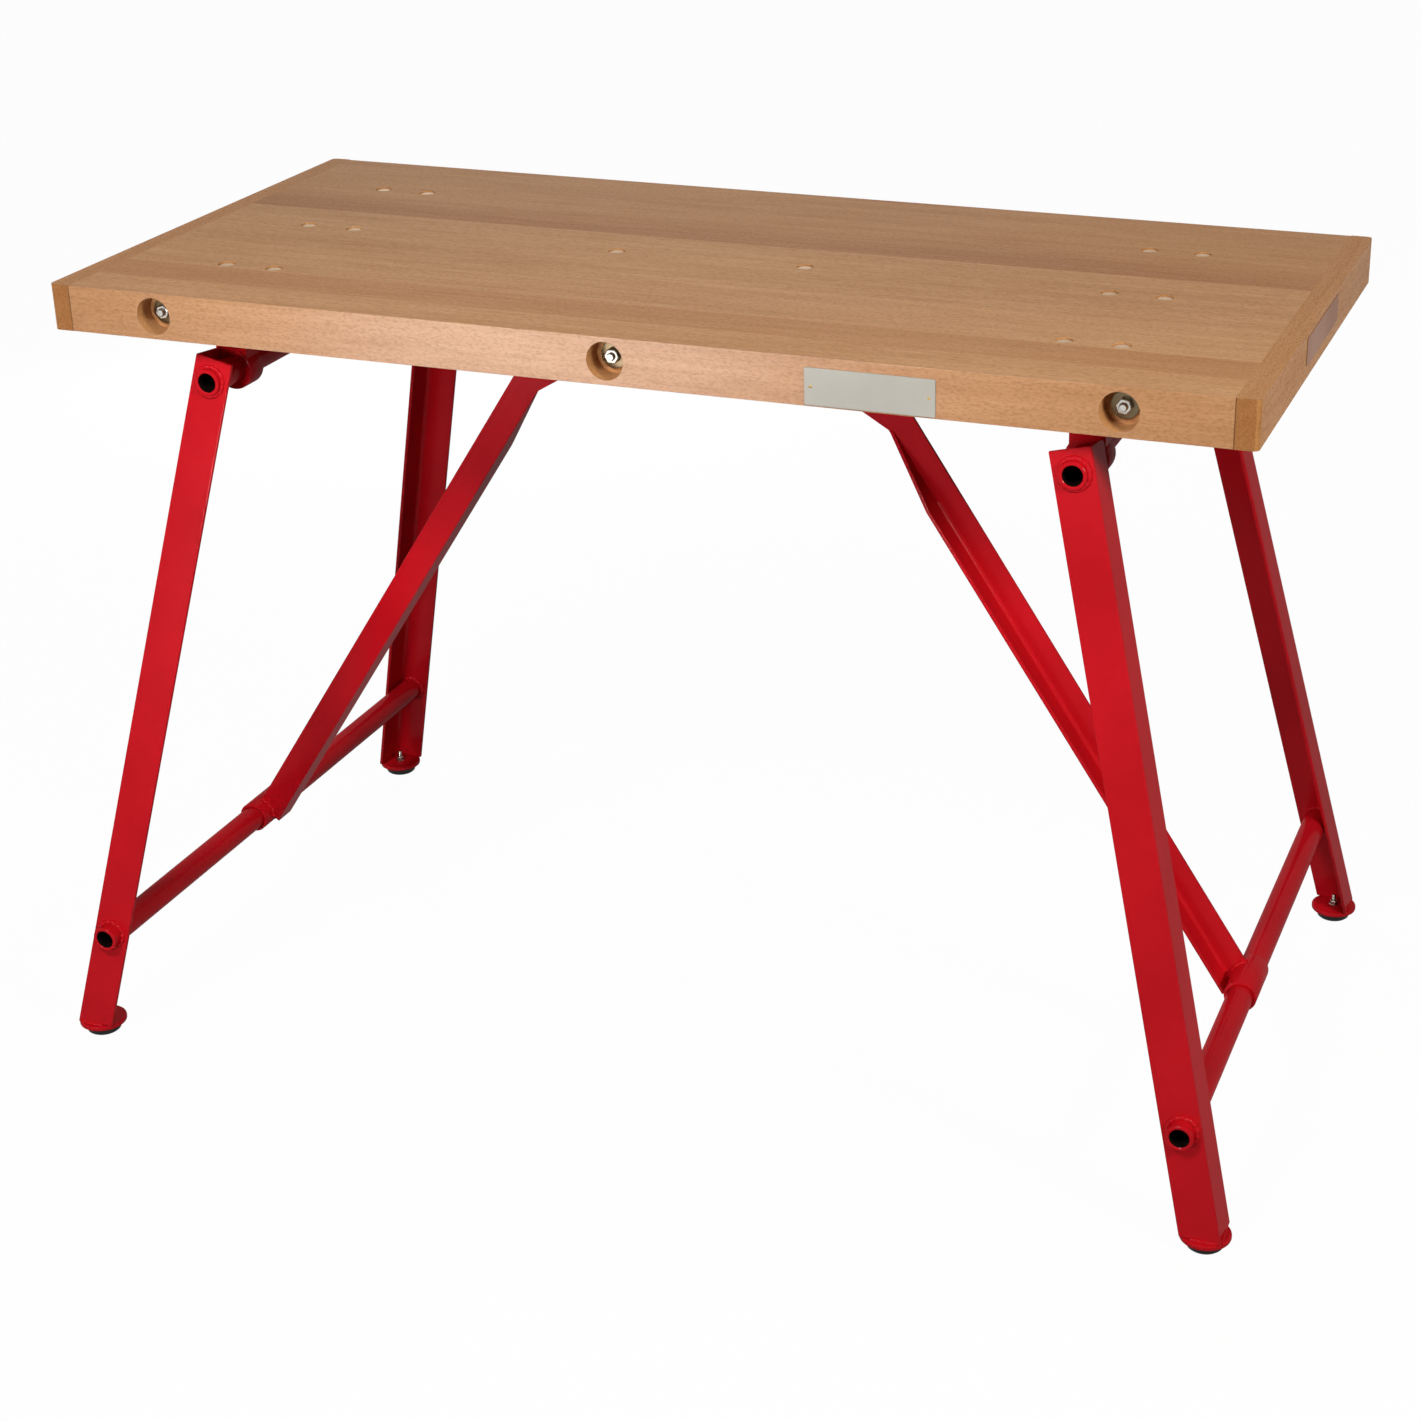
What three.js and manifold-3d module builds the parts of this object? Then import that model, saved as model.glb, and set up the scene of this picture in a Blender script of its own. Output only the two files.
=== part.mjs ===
// A folding workbench: a wooden top on two splayed angle-iron leg frames that fold in under it,
// each held open by a cranked brace that hooks onto a pin under the top.
// Millimetres, +Z up, floor at z = 0, length along X, front towards -Y.
import * as THREE from "three";
import { mergeVertices } from "three/addons/utils/BufferGeometryUtils.js";
import Module from "manifold-3d";

const wasm = await Module();
wasm.setup();

// Facets round a curved surface
const roundSides = 24;
const holeSides = 14;

// Clearances
const gap = 0.3;
const pivotPlay = 0.3;
const boltPlay = 0.3;
const hookPlay = 0.5;

// Wooden top
const topLength = 1200;
const topWidth = 564;
const topThickness = 46;
const topHeight = 817;
const cleatWidth = 22;
const cornerRadius = 6;
const boardJoints = [-230, -177, -85, 64];

// Tie rods across the boards
const rodPositions = [-484, -5, 478];
const rodNames = ["left", "middle", "right"];
const rodDiameter = 8;
const counterboreDiameter = 36.5;
const counterboreDepth = 24;
const washerDiameter = 26;
const washerThickness = 2.5;
const tieNutFlats = 13;
const tieNutThickness = 6.5;
const rodEndBeyondNut = 3;

// Bolts down through the top
const boltDiameter = 8;
const boltHeadDiameter = 17;
const boltHeadThickness = 4;
const boltHeadSink = 0.6;
const boltNutFlats = 13;
const boltNutThickness = 6.5;

// The middle of the two leg frames, and the hinges on either side of it
const frameMiddle = -4.5;
const hingeX = 438.5;

// Hinge brackets under the top
const hingeDrop = 45.4;
const hingeOuterFace = 217;
const hingeBoltRow = 164;
const hingeBoltShift = { left: -1, right: -10.5 };
const hingeBoltHalfSpacing = 27;
const bossDiameter = 42;
const bossLength = 25;
const neckWidth = 34;
const middleNeckWidth = 16;
const bracketLength = 88;
const bracketThickness = 6;
const bracketMargin = 24;

// Leg frames
const frameTilt = Math.atan(0.2377);
const heelAtHinge = 260;
const heelSplay = Math.atan(0.135);
const heelOut = 19.75;
const legFlange = 40;
const legWall = 4;
const legAboveHinge = 23;
const tubeDiameter = 26.9;
const tubeBore = 19.5;
const pivotTubeHalf = 266;
const crossbarDown = 620;
const crossbarHalf = 356;

// Feet
const padDiameter = 37;
const padThickness = 10;
const footPlateDiameter = 50;
const footPlateThickness = 5;
const footInset = 18;

// Braces
const bracePlane = { left: -34, right: -40 };
const braceBend = THREE.MathUtils.degToRad(26.3);
const braceFlange = 30;
const braceWall = 4;
const braceCrank = 112;
const braceTip = 18;
const braceTaper = 90;
const braceStart = 13;
const braceTongue = 3;
const braceBelowAxis = 8.5;
const braceEnd = { along: 3, across: -15 };
const collarDiameter = 33.7;
const collarLength = 63;
const slotAngle = THREE.MathUtils.degToRad(147);

// Brace keepers under the top
const pinFromMiddle = 106.7;
const pinDrop = 32;
const keeperBoltShift = { left: -5.3, right: -15.2 };
const keeperLength = 64;
const keeperPlay = 0.5;
const keeperBack = 22;
const keeperThickness = 5;
const lugThickness = 6;
const lugHalf = 15;
const pinDiameter = 9.4;
const pinHeadDiameter = 17;
const pinHeadThickness = 4;
const pinHeadStandoff = 3;

// Bare plates
const namePlate = { left: 190, right: 313, height: 35, aboveBottom: 1.5, thickness: 1.2 };
const endPlate = { front: -72, back: 85, height: 27, aboveBottom: 13, thickness: 0.6 };

// Derived positions
const underside = topHeight - topThickness;
const rodHeight = topHeight - topThickness / 2;
const hingeZ = underside - hingeDrop;
const halfLength = topLength / 2;
const halfWidth = topWidth / 2;
const footTop = padThickness + footPlateThickness;
const crossbarX = hingeX + crossbarDown * Math.sin(frameTilt);
const crossbarZ = hingeZ - crossbarDown * Math.cos(frameTilt);
const pinZ = underside - pinDrop;

// The brace starts beside the left crossbar, a little below its axis, runs straight up and then
// cranks over to meet the pin.
const hookX = crossbarX - pinFromMiddle;
const hookZ = pinZ - crossbarZ;
const hookReach = Math.hypot(hookX, hookZ);
const crankAcross = braceCrank * Math.sin(braceBend) + braceBelowAxis;
const braceStraight = Math.sqrt(hookReach ** 2 - crankAcross ** 2) - braceCrank * Math.cos(braceBend);
const braceAngle = Math.atan2(hookZ, hookX) + Math.asin(crankAcross / hookReach);
const crankAngle = braceAngle - braceBend;
const bendX = braceStraight * Math.cos(braceAngle) + braceBelowAxis * Math.sin(braceAngle);
const bendZ = braceStraight * Math.sin(braceAngle) - braceBelowAxis * Math.cos(braceAngle);

const wood = { color: 0xd2a376, roughness: 0.55, metalness: 0 };
const endWood = { color: 0xc78f63, roughness: 0.6, metalness: 0 };
const redPaint = { color: 0xc4161c, roughness: 0.3, metalness: 0 };
const zinc = { color: 0xc9ccd0, roughness: 0.35, metalness: 1 };
const plateMetal = { color: 0x9a9ca0, roughness: 0.45, metalness: 0.8 };
const rubber = { color: 0x161618, roughness: 0.8, metalness: 0 };

const bench = new THREE.Group();
bench.name = "folding_workbench";

// A closed three.js geometry as a solid that can be joined and cut.
function solid(geometry) {
  const bare = geometry.clone();
  bare.deleteAttribute("normal");
  bare.deleteAttribute("uv");
  const merged = mergeVertices(bare, 1e-4);
  return new wasm.Manifold(
    new wasm.Mesh({
      numProp: 3,
      vertProperties: new Float32Array(merged.attributes.position.array),
      triVerts: new Uint32Array(merged.index.array),
    }),
  );
}

// Adds a named piece. Pieces are drawn about the middle of the top, then moved so that the origin
// is under the middle of the feet.
function addPiece(name, body, look) {
  const made = body.getMesh();
  const geometry = new THREE.BufferGeometry();
  geometry.setAttribute("position", new THREE.BufferAttribute(new Float32Array(made.vertProperties), 3));
  geometry.setIndex(new THREE.BufferAttribute(new Uint32Array(made.triVerts), 1));
  geometry.translate(-frameMiddle, 0, 0);
  geometry.computeVertexNormals();
  const mesh = new THREE.Mesh(geometry, new THREE.MeshStandardMaterial(look));
  mesh.name = name;
  bench.add(mesh);
}

function blockGeometry(x0, x1, y0, y1, z0, z1) {
  const box = new THREE.BoxGeometry(x1 - x0, y1 - y0, z1 - z0);
  return box.translate((x0 + x1) / 2, (y0 + y1) / 2, (z0 + z1) / 2);
}

function block(x0, x1, y0, y1, z0, z1) {
  return solid(blockGeometry(x0, x1, y0, y1, z0, z1));
}

// A round bar along Y, between two y positions.
function barAlongYGeometry(x, z, diameter, y0, y1, sides = roundSides) {
  const bar = new THREE.CylinderGeometry(diameter / 2, diameter / 2, y1 - y0, sides);
  return bar.translate(x, (y0 + y1) / 2, z);
}

function barAlongY(x, z, diameter, y0, y1, sides) {
  return solid(barAlongYGeometry(x, z, diameter, y0, y1, sides));
}

// A round bar along Z, between two heights.
function barAlongZ(x, y, diameter, z0, z1, sides = holeSides) {
  const bar = new THREE.CylinderGeometry(diameter / 2, diameter / 2, z1 - z0, sides);
  bar.rotateX(Math.PI / 2);
  return solid(bar.translate(x, y, (z0 + z1) / 2));
}

// The width across the corners of a hexagon, from its width across the flats.
function acrossCorners(flats) {
  return flats / Math.cos(Math.PI / 6);
}

// Where the vertical bolts pass through the top: the hinges' pairs, then one for each keeper.
const sides = [
  { name: "left", sign: -1 },
  { name: "right", sign: 1 },
];
const hingeRows = [
  { name: "front", y: -hingeBoltRow },
  { name: "middle", y: 0 },
  { name: "back", y: hingeBoltRow },
];
const boltSpots = [];
for (const side of sides) {
  for (const row of hingeRows) {
    for (const half of sides) {
      const middle = frameMiddle + side.sign * hingeX + hingeBoltShift[side.name];
      const x = middle + half.sign * hingeBoltHalfSpacing;
      const grip = bracketThickness;
      boltSpots.push({ name: `${side.name}_hinge_${row.name}_bolt_${half.name}`, x, y: row.y, grip });
    }
  }
  const x = frameMiddle + side.sign * pinFromMiddle + keeperBoltShift[side.name];
  boltSpots.push({ name: `${side.name}_keeper_bolt`, x, y: 0, grip: keeperThickness });
}

// Boards of the top, glued edge to edge, bored for the tie rods and bolts.
function makeBoards() {
  const edges = [-halfWidth, ...boardJoints, halfWidth];
  const boardEnd = halfLength - cleatWidth;
  const holes = [];
  for (const x of rodPositions) {
    holes.push(barAlongY(x, rodHeight, rodDiameter + 2 * boltPlay, -topWidth, topWidth, holeSides));
    for (const face of [-1, 1]) {
      const inner = face * (halfWidth - counterboreDepth);
      const outer = face * (halfWidth + counterboreDepth);
      holes.push(
        barAlongY(x, rodHeight, counterboreDiameter, Math.min(inner, outer), Math.max(inner, outer)),
      );
    }
  }
  const headSeat = topHeight - boltHeadSink - boltHeadThickness - boltPlay;
  for (const spot of boltSpots) {
    holes.push(barAlongZ(spot.x, spot.y, boltDiameter + 2 * boltPlay, underside - 1, topHeight + 1));
    const headHole = boltHeadDiameter + 2 * boltPlay;
    holes.push(barAlongZ(spot.x, spot.y, headHole, headSeat, topHeight + 1, roundSides));
  }
  for (let i = 0; i + 1 < edges.length; i++) {
    let board = block(-boardEnd, boardEnd, edges[i], edges[i + 1], underside, topHeight);
    for (const hole of holes) {
      board = board.subtract(hole);
    }
    addPiece(`board_${i + 1}`, board, wood);
  }
}

// A strip of wood across each end of the boards, its outer corners rounded.
function makeCleat(side) {
  const inner = halfLength - cleatWidth;
  const straight = halfWidth - cornerRadius;
  const outline = new THREE.Shape();
  outline.moveTo(inner, -halfWidth);
  outline.lineTo(halfLength - cornerRadius, -halfWidth);
  outline.absarc(halfLength - cornerRadius, -straight, cornerRadius, -Math.PI / 2, 0, false);
  outline.absarc(halfLength - cornerRadius, straight, cornerRadius, 0, Math.PI / 2, false);
  outline.lineTo(inner, halfWidth);
  const strip = new THREE.ExtrudeGeometry(outline, {
    depth: topThickness,
    bevelEnabled: false,
    curveSegments: 6,
  });
  strip.translate(0, 0, underside);
  if (side.sign < 0) {
    strip.rotateZ(Math.PI);
  }
  addPiece(`${side.name}_cleat`, solid(strip), endWood);
}

// A tie rod through all the boards, with a washer and a nut in the counterbore at each end.
function makeTieRod(x, name) {
  const seat = halfWidth - counterboreDepth;
  const nutFace = seat + washerThickness + tieNutThickness;
  const rodEnd = nutFace + rodEndBeyondNut;
  addPiece(`tie_rod_${name}`, barAlongY(x, rodHeight, rodDiameter, -rodEnd, rodEnd, holeSides), zinc);
  const hole = barAlongY(x, rodHeight, rodDiameter + 2 * boltPlay, -topWidth, topWidth, holeSides);
  for (const end of [
    { name: "front", sign: -1 },
    { name: "back", sign: 1 },
  ]) {
    const washer = barAlongYGeometry(x, rodHeight, washerDiameter, seat, seat + washerThickness);
    const nut = barAlongYGeometry(x, rodHeight, acrossCorners(tieNutFlats), seat + 1, nutFace, 6);
    const turn = new THREE.Matrix4().makeTranslation(2 * x, 0, 0);
    turn.multiply(new THREE.Matrix4().makeRotationZ(Math.PI));
    if (end.sign < 0) {
      washer.applyMatrix4(turn);
      nut.applyMatrix4(turn);
    }
    addPiece(`tie_nut_${name}_${end.name}`, solid(washer).add(solid(nut)).subtract(hole), zinc);
  }
}

// A bolt with its head sunk in the top and its nut under the bracket it holds.
function makeBolt(spot) {
  const headTop = topHeight - boltHeadSink;
  const nutTop = underside - spot.grip;
  const end = nutTop - boltNutThickness - 2;
  const shank = barAlongZ(spot.x, spot.y, boltDiameter, end, headTop - 1);
  const head = barAlongZ(spot.x, spot.y, boltHeadDiameter, headTop - boltHeadThickness, headTop, roundSides);
  const nutDiameter = acrossCorners(boltNutFlats);
  const nut = barAlongZ(spot.x, spot.y, nutDiameter, nutTop - boltNutThickness, nutTop, 6);
  addPiece(spot.name, shank.add(head).add(nut), zinc);
}

// A bracket that hangs a boss for the pivot tube under the top.
function makeHingeBracket(side, row) {
  const pivot = frameMiddle + side.sign * hingeX;
  const outward = Math.sign(row.y);
  const bossEnd = outward * hingeOuterFace;
  const bossFrom = row.y === 0 ? -bossLength / 2 : Math.min(bossEnd, bossEnd - outward * bossLength);
  const bossTo = bossFrom + bossLength;
  const plateFrom = Math.min(bossFrom, row.y - bracketMargin);
  const plateTo = Math.max(bossTo, row.y + bracketMargin);
  const neckHalf = (row.y === 0 ? middleNeckWidth : neckWidth) / 2;
  const middle = pivot + hingeBoltShift[side.name];
  const left = middle - bracketLength / 2;
  const right = middle + bracketLength / 2;
  let bracket = block(left, right, plateFrom, plateTo, underside - bracketThickness, underside);
  bracket = bracket.add(
    block(pivot - neckHalf, pivot + neckHalf, bossFrom, bossTo, hingeZ, underside - 1),
  );
  bracket = bracket.add(barAlongY(pivot, hingeZ, bossDiameter, bossFrom, bossTo));
  bracket = bracket.subtract(
    barAlongY(pivot, hingeZ, tubeDiameter + 2 * pivotPlay, bossFrom - 1, bossTo + 1),
  );
  for (const half of sides) {
    const x = middle + half.sign * hingeBoltHalfSpacing;
    const hole = barAlongZ(x, row.y, boltDiameter + 2 * boltPlay, underside - 40, underside + 1);
    bracket = bracket.subtract(hole);
  }
  addPiece(`${side.name}_hinge_${row.name}`, bracket, redPaint);
}

// A flat bracket under the top, with a lug that carries the pin for a brace's hook.
function makeKeeper(side) {
  const x = frameMiddle + side.sign * pinFromMiddle;
  const boltX = x + keeperBoltShift[side.name];
  const keeperFront = bracePlane[side.name] + braceWall / 2 + keeperPlay;
  const lugBack = keeperFront + lugThickness;
  const bottom = underside - keeperThickness;
  let keeper = block(
    boltX - keeperLength / 2,
    boltX + keeperLength / 2,
    keeperFront,
    keeperBack,
    bottom,
    underside,
  );
  keeper = keeper.add(block(x - lugHalf, x + lugHalf, keeperFront, lugBack, pinZ, underside - 1));
  keeper = keeper.add(barAlongY(x, pinZ, 2 * lugHalf, keeperFront, lugBack));
  keeper = keeper.subtract(
    barAlongY(x, pinZ, pinDiameter + 2 * boltPlay, keeperFront - 1, lugBack + 1, holeSides),
  );
  keeper = keeper.subtract(barAlongZ(boltX, 0, boltDiameter + 2 * boltPlay, bottom - 1, underside + 1));
  addPiece(`${side.name}_keeper`, keeper, redPaint);

  const headBack = bracePlane[side.name] - braceWall / 2 - pinHeadStandoff;
  const headFront = headBack - pinHeadThickness;
  const tailFront = lugBack + gap;
  const tailBack = tailFront + pinHeadThickness;
  let pin = barAlongY(x, pinZ, pinDiameter, headFront, tailBack, holeSides);
  pin = pin.add(barAlongY(x, pinZ, pinHeadDiameter, headFront, headBack));
  pin = pin.add(barAlongY(x, pinZ, pinHeadDiameter, tailFront, tailBack));
  addPiece(`${side.name}_keeper_pin`, pin, zinc);
}

// A tube along Y in a leg frame, open at both ends.
function frameTube(frame, down, half) {
  const outside = barAlongYGeometry(0, -down, tubeDiameter, -half, half);
  const bore = barAlongYGeometry(0, -down, tubeBore, -half - 1, half + 1);
  return solid(outside.applyMatrix4(frame)).subtract(solid(bore.applyMatrix4(frame)));
}

// A splayed leg frame. In its own axes the hinge is the Y axis, legs run down -Z and +X faces outward.
function makeLegFrame(side) {
  const frame = new THREE.Matrix4().makeTranslation(frameMiddle + side.sign * hingeX, 0, hingeZ);
  if (side.sign < 0) {
    frame.multiply(new THREE.Matrix4().makeRotationZ(Math.PI));
  }
  frame.multiply(new THREE.Matrix4().makeRotationY(-frameTilt));

  const legLength = 1.1 * hingeZ;
  const clear = tubeDiameter + 2 * gap;
  for (const place of [
    { name: "front", sign: -1 },
    { name: "back", sign: 1 },
  ]) {
    const hand = place.sign * side.sign;
    const outline = new THREE.Shape(
      [
        [heelOut, 0],
        [heelOut, -legFlange],
        [heelOut - legWall, -legFlange],
        [heelOut - legWall, -legWall],
        [heelOut - legFlange, -legWall],
        [heelOut - legFlange, 0],
      ].map(([x, y]) => new THREE.Vector2(x, hand * y)),
    );
    const angle = new THREE.ExtrudeGeometry(outline, {
      depth: legLength + legAboveHinge,
      bevelEnabled: false,
    });
    angle.translate(0, 0, -legLength);
    angle.rotateX(hand * heelSplay);
    angle.translate(0, hand * heelAtHinge, 0);
    let leg = solid(angle.applyMatrix4(frame));
    leg = leg.subtract(block(-topLength, topLength, -topWidth, topWidth, -legLength, footTop + gap));
    for (const down of [0, crossbarDown]) {
      const hole = barAlongYGeometry(0, -down, clear, -topWidth, topWidth);
      leg = leg.subtract(solid(hole.applyMatrix4(frame)));
    }
    addPiece(`${side.name}_${place.name}_leg`, leg, redPaint);

    const down = (hingeZ - footTop) / Math.cos(frameTilt);
    const heel = new THREE.Vector3(heelOut, hand * (heelAtHinge + down * Math.tan(heelSplay)), -down);
    heel.applyMatrix4(frame);
    const x = heel.x - side.sign * footInset;
    const y = heel.y - place.sign * footInset;
    const plate = barAlongZ(x, y, footPlateDiameter, padThickness, footTop, roundSides);
    addPiece(`${side.name}_${place.name}_foot_plate`, plate, redPaint);
    const pad = barAlongZ(x, y, padDiameter, 0, padThickness, roundSides);
    addPiece(`${side.name}_${place.name}_foot_pad`, pad, rubber);
  }
  addPiece(`${side.name}_pivot_tube`, frameTube(frame, 0, pivotTubeHalf), redPaint);
  addPiece(`${side.name}_crossbar`, frameTube(frame, crossbarDown, crossbarHalf), redPaint);
}

// A cranked angle-iron brace with a collar that turns on the crossbar and a hook at the other end.
// It is drawn for the left frame. The right one is the same piece turned half round, further forward.
function makeBrace(side) {
  const half = braceFlange / 2;
  const wall = braceWall / 2;
  const toCollar = new THREE.Matrix4().makeTranslation(frameMiddle - crossbarX, bracePlane.left, crossbarZ);
  const place = new THREE.Matrix4();
  if (side.sign > 0) {
    place.makeTranslation(2 * frameMiddle, bracePlane.left + bracePlane.right, 0);
    place.multiply(new THREE.Matrix4().makeRotationZ(Math.PI));
  }
  place.multiply(toCollar);
  const put = (geometry) => solid(geometry.applyMatrix4(place));

  const low = -half - braceBelowAxis;
  const mainFlange = new THREE.Shape();
  mainFlange.moveTo(braceStart, low);
  mainFlange.lineTo(braceStraight, low);
  mainFlange.lineTo(braceStraight, low + braceFlange);
  mainFlange.lineTo(braceEnd.along, low + braceFlange);
  mainFlange.lineTo(braceEnd.along, braceEnd.across);
  const straight = new THREE.ExtrudeGeometry(mainFlange, { depth: braceWall, bevelEnabled: false });
  straight.translate(0, 0, -wall).rotateX(Math.PI / 2).rotateY(-braceAngle);
  const crank = blockGeometry(0, braceCrank + braceTip - half, -wall, wall, -half, half);
  crank.rotateY(-crankAngle).translate(bendX, 0, bendZ);
  const tipReach = braceCrank + braceTip - half;
  const tipX = bendX + tipReach * Math.cos(crankAngle);
  const tipZ = bendZ + tipReach * Math.sin(crankAngle);
  let brace = put(straight).add(put(crank));
  brace = brace.add(put(barAlongYGeometry(bendX, bendZ, braceFlange, -wall, wall)));
  brace = brace.add(put(barAlongYGeometry(tipX, tipZ, braceFlange, -wall, wall)));

  const lowerFlange = new THREE.Shape();
  lowerFlange.moveTo(braceTongue, -wall);
  lowerFlange.lineTo(braceStraight - braceWall, -wall);
  lowerFlange.lineTo(braceStraight - braceWall, wall);
  lowerFlange.lineTo(braceStraight - braceTaper, braceFlange - wall);
  lowerFlange.lineTo(braceTongue, braceFlange - wall);
  const flange = new THREE.ExtrudeGeometry(lowerFlange, { depth: braceWall, bevelEnabled: false });
  brace = brace.add(put(flange.translate(0, 0, low).rotateY(-braceAngle)));

  const collarMiddle = half - wall;
  const collarFrom = collarMiddle - collarLength / 2;
  const collarTo = collarMiddle + collarLength / 2;
  brace = brace.add(put(barAlongYGeometry(0, 0, collarDiameter, collarFrom, collarTo)));
  const bore = barAlongYGeometry(0, 0, tubeDiameter + 2 * pivotPlay, collarFrom - 1, collarTo + 1);
  brace = brace.subtract(put(bore));

  const slotWidth = pinDiameter + 2 * hookPlay;
  const slot = blockGeometry(0, 2 * braceFlange, -braceWall, braceWall, -slotWidth / 2, slotWidth / 2);
  slot.rotateY(-slotAngle).translate(hookX, 0, hookZ);
  brace = brace.subtract(put(slot));
  brace = brace.subtract(put(barAlongYGeometry(hookX, hookZ, slotWidth, -braceWall, braceWall, holeSides)));
  addPiece(`${side.name}_brace`, brace, redPaint);
}

// Plain plates on the front edge and on the right end.
function makePlates() {
  const front = block(
    namePlate.left,
    namePlate.right,
    -halfWidth - namePlate.thickness,
    -halfWidth,
    underside + namePlate.aboveBottom,
    underside + namePlate.aboveBottom + namePlate.height,
  );
  addPiece("name_plate", front, plateMetal);
  const end = block(
    halfLength,
    halfLength + endPlate.thickness,
    endPlate.front,
    endPlate.back,
    underside + endPlate.aboveBottom,
    underside + endPlate.aboveBottom + endPlate.height,
  );
  addPiece("end_plate", end, plateMetal);
}

makeBoards();
rodPositions.forEach((x, i) => makeTieRod(x, rodNames[i]));
boltSpots.forEach(makeBolt);
makePlates();
for (const side of sides) {
  makeCleat(side);
  for (const row of hingeRows) {
    makeHingeBracket(side, row);
  }
  makeKeeper(side);
  makeLegFrame(side);
  makeBrace(side);
}

export default bench;
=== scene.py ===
# %% [markdown]
# # A folding workbench
# The bench has a thick beech top, two leg frames of red-painted angle iron and two cranked
# braces. The solids come from the CAD model and say where everything is. This lesson dresses
# them: edges are eased, tubes are made round, welds, nuts and washers are added, and every
# surface gets a finish made of shader nodes.

# %% Load the CAD frame
import math

import bmesh
import bpy
from mathutils import Matrix, Vector


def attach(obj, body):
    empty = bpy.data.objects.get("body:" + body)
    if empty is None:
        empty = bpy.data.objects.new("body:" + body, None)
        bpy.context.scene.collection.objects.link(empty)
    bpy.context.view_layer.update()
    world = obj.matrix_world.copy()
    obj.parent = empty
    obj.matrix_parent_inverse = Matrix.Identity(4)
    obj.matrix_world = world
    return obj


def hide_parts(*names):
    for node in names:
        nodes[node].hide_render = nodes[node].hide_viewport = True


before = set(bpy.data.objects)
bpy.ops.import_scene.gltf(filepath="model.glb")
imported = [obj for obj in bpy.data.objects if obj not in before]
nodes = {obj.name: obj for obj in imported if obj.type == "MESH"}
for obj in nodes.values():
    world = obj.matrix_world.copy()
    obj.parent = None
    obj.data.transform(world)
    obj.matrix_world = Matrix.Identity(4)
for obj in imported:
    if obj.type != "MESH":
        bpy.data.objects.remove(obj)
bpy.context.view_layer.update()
print("CAD nodes:", len(nodes))

# %% [markdown]
# ## Sizes
# The CAD frame is in metres. These sizes repeat the ones that the pieces below are built from,
# so a piece made here sits exactly where its solid is.

# %% Sizes shared by the pieces
TOP_HEIGHT = 0.817
TOP_THICKNESS = 0.046
HALF_LENGTH = 0.600
HALF_WIDTH = 0.282
TOP_MIDDLE = 0.0045
CLEAT_WIDTH = 0.022
CLEAT_JOINT = HALF_LENGTH - CLEAT_WIDTH
UNDERSIDE = TOP_HEIGHT - TOP_THICKNESS
ROD_HEIGHT = TOP_HEIGHT - TOP_THICKNESS / 2
HINGE_X = 0.4385
HINGE_Z = UNDERSIDE - 0.0454
FRAME_TILT = math.atan(0.2377)
LEG_SPLAY = math.atan(0.135)
TUBE_RADIUS = 0.01345
TUBE_BORE = 0.00975
TURNING_BORE = TUBE_RADIUS + 0.0003
CROSSBAR_DOWN = 0.620
PIN_X = 0.1067
CROSSBAR_X = HINGE_X + CROSSBAR_DOWN * math.sin(FRAME_TILT)
CROSSBAR_Z = HINGE_Z - CROSSBAR_DOWN * math.cos(FRAME_TILT)
SIDES = (("left", -1), ("right", 1))
PLACES = (("front", -1), ("back", 1))
print("crossbars at", round(CROSSBAR_X, 4), round(CROSSBAR_Z, 4))

# %% [markdown]
# ## Helpers
# A bmesh is Blender's editable mesh. Its faces are shaded flat or smooth: curved ones are smooth,
# and large flat ones stay flat, so that a rounded rim doesn't bend the light on them.

# %% Flat and smooth faces
SMOOTH_ANGLE = math.radians(38)
SAME_PLANE = math.radians(0.5)
MUCH_LARGER = 4


def flat_areas(bm):
    """For each face, the area of the flat region it belongs to."""
    areas = {}
    for first in bm.faces:
        if first in areas:
            continue
        region = {first}
        waiting = [first]
        while waiting:
            for edge in waiting.pop().edges:
                if edge.calc_face_angle(math.pi) < SAME_PLANE:
                    fresh = [face for face in edge.link_faces if face not in region]
                    region.update(fresh)
                    waiting += fresh
        total = sum(face.calc_area() for face in region)
        areas.update((face, total) for face in region)
    return areas


def smooth_flags(bm):
    """For each face, whether it is smooth: not flat, and not much larger than the curve beside it."""
    areas = flat_areas(bm)
    flags = []
    for face in bm.faces:
        rims = []
        for edge in face.edges:
            if SAME_PLANE < edge.calc_face_angle(0.0) < SMOOTH_ANGLE:
                rims += [areas[other] for other in edge.link_faces if other is not face]
        flags.append(bool(rims) and areas[face] < MUCH_LARGER * max(rims))
    return flags


print("flat below", round(SAME_PLANE, 4), "and sharp from", round(SMOOTH_ANGLE, 4), "radians")

# %% [markdown]
# `finish_piece` turns a bmesh into an object that rides on a CAD body. Its place stays in its
# vertices, so every object sits at the origin and patterns on Object coordinates never slide.

# %% Make an object from a bmesh
def finish_piece(name, bm, finish, body, stands_for=()):
    bmesh.ops.remove_doubles(bm, verts=bm.verts, dist=1e-6)
    bmesh.ops.recalc_face_normals(bm, faces=bm.faces)
    flags = smooth_flags(bm)
    mesh = bpy.data.meshes.new(name)
    bm.to_mesh(mesh)
    bm.free()
    imported = mesh.attributes.get("custom_normal")
    if imported:
        mesh.attributes.remove(imported)
    mesh.set_sharp_from_angle(angle=SMOOTH_ANGLE)
    mesh.polygons.foreach_set("use_smooth", flags)
    mesh.materials.append(finish)
    piece = bpy.data.objects.new(name, mesh)
    bpy.context.scene.collection.objects.link(piece)
    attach(piece, body)
    if stands_for:
        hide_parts(*stands_for)
    return piece


def placed(shape, matrix):
    bmesh.ops.transform(shape, matrix=matrix, verts=shape.verts)
    return shape


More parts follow.
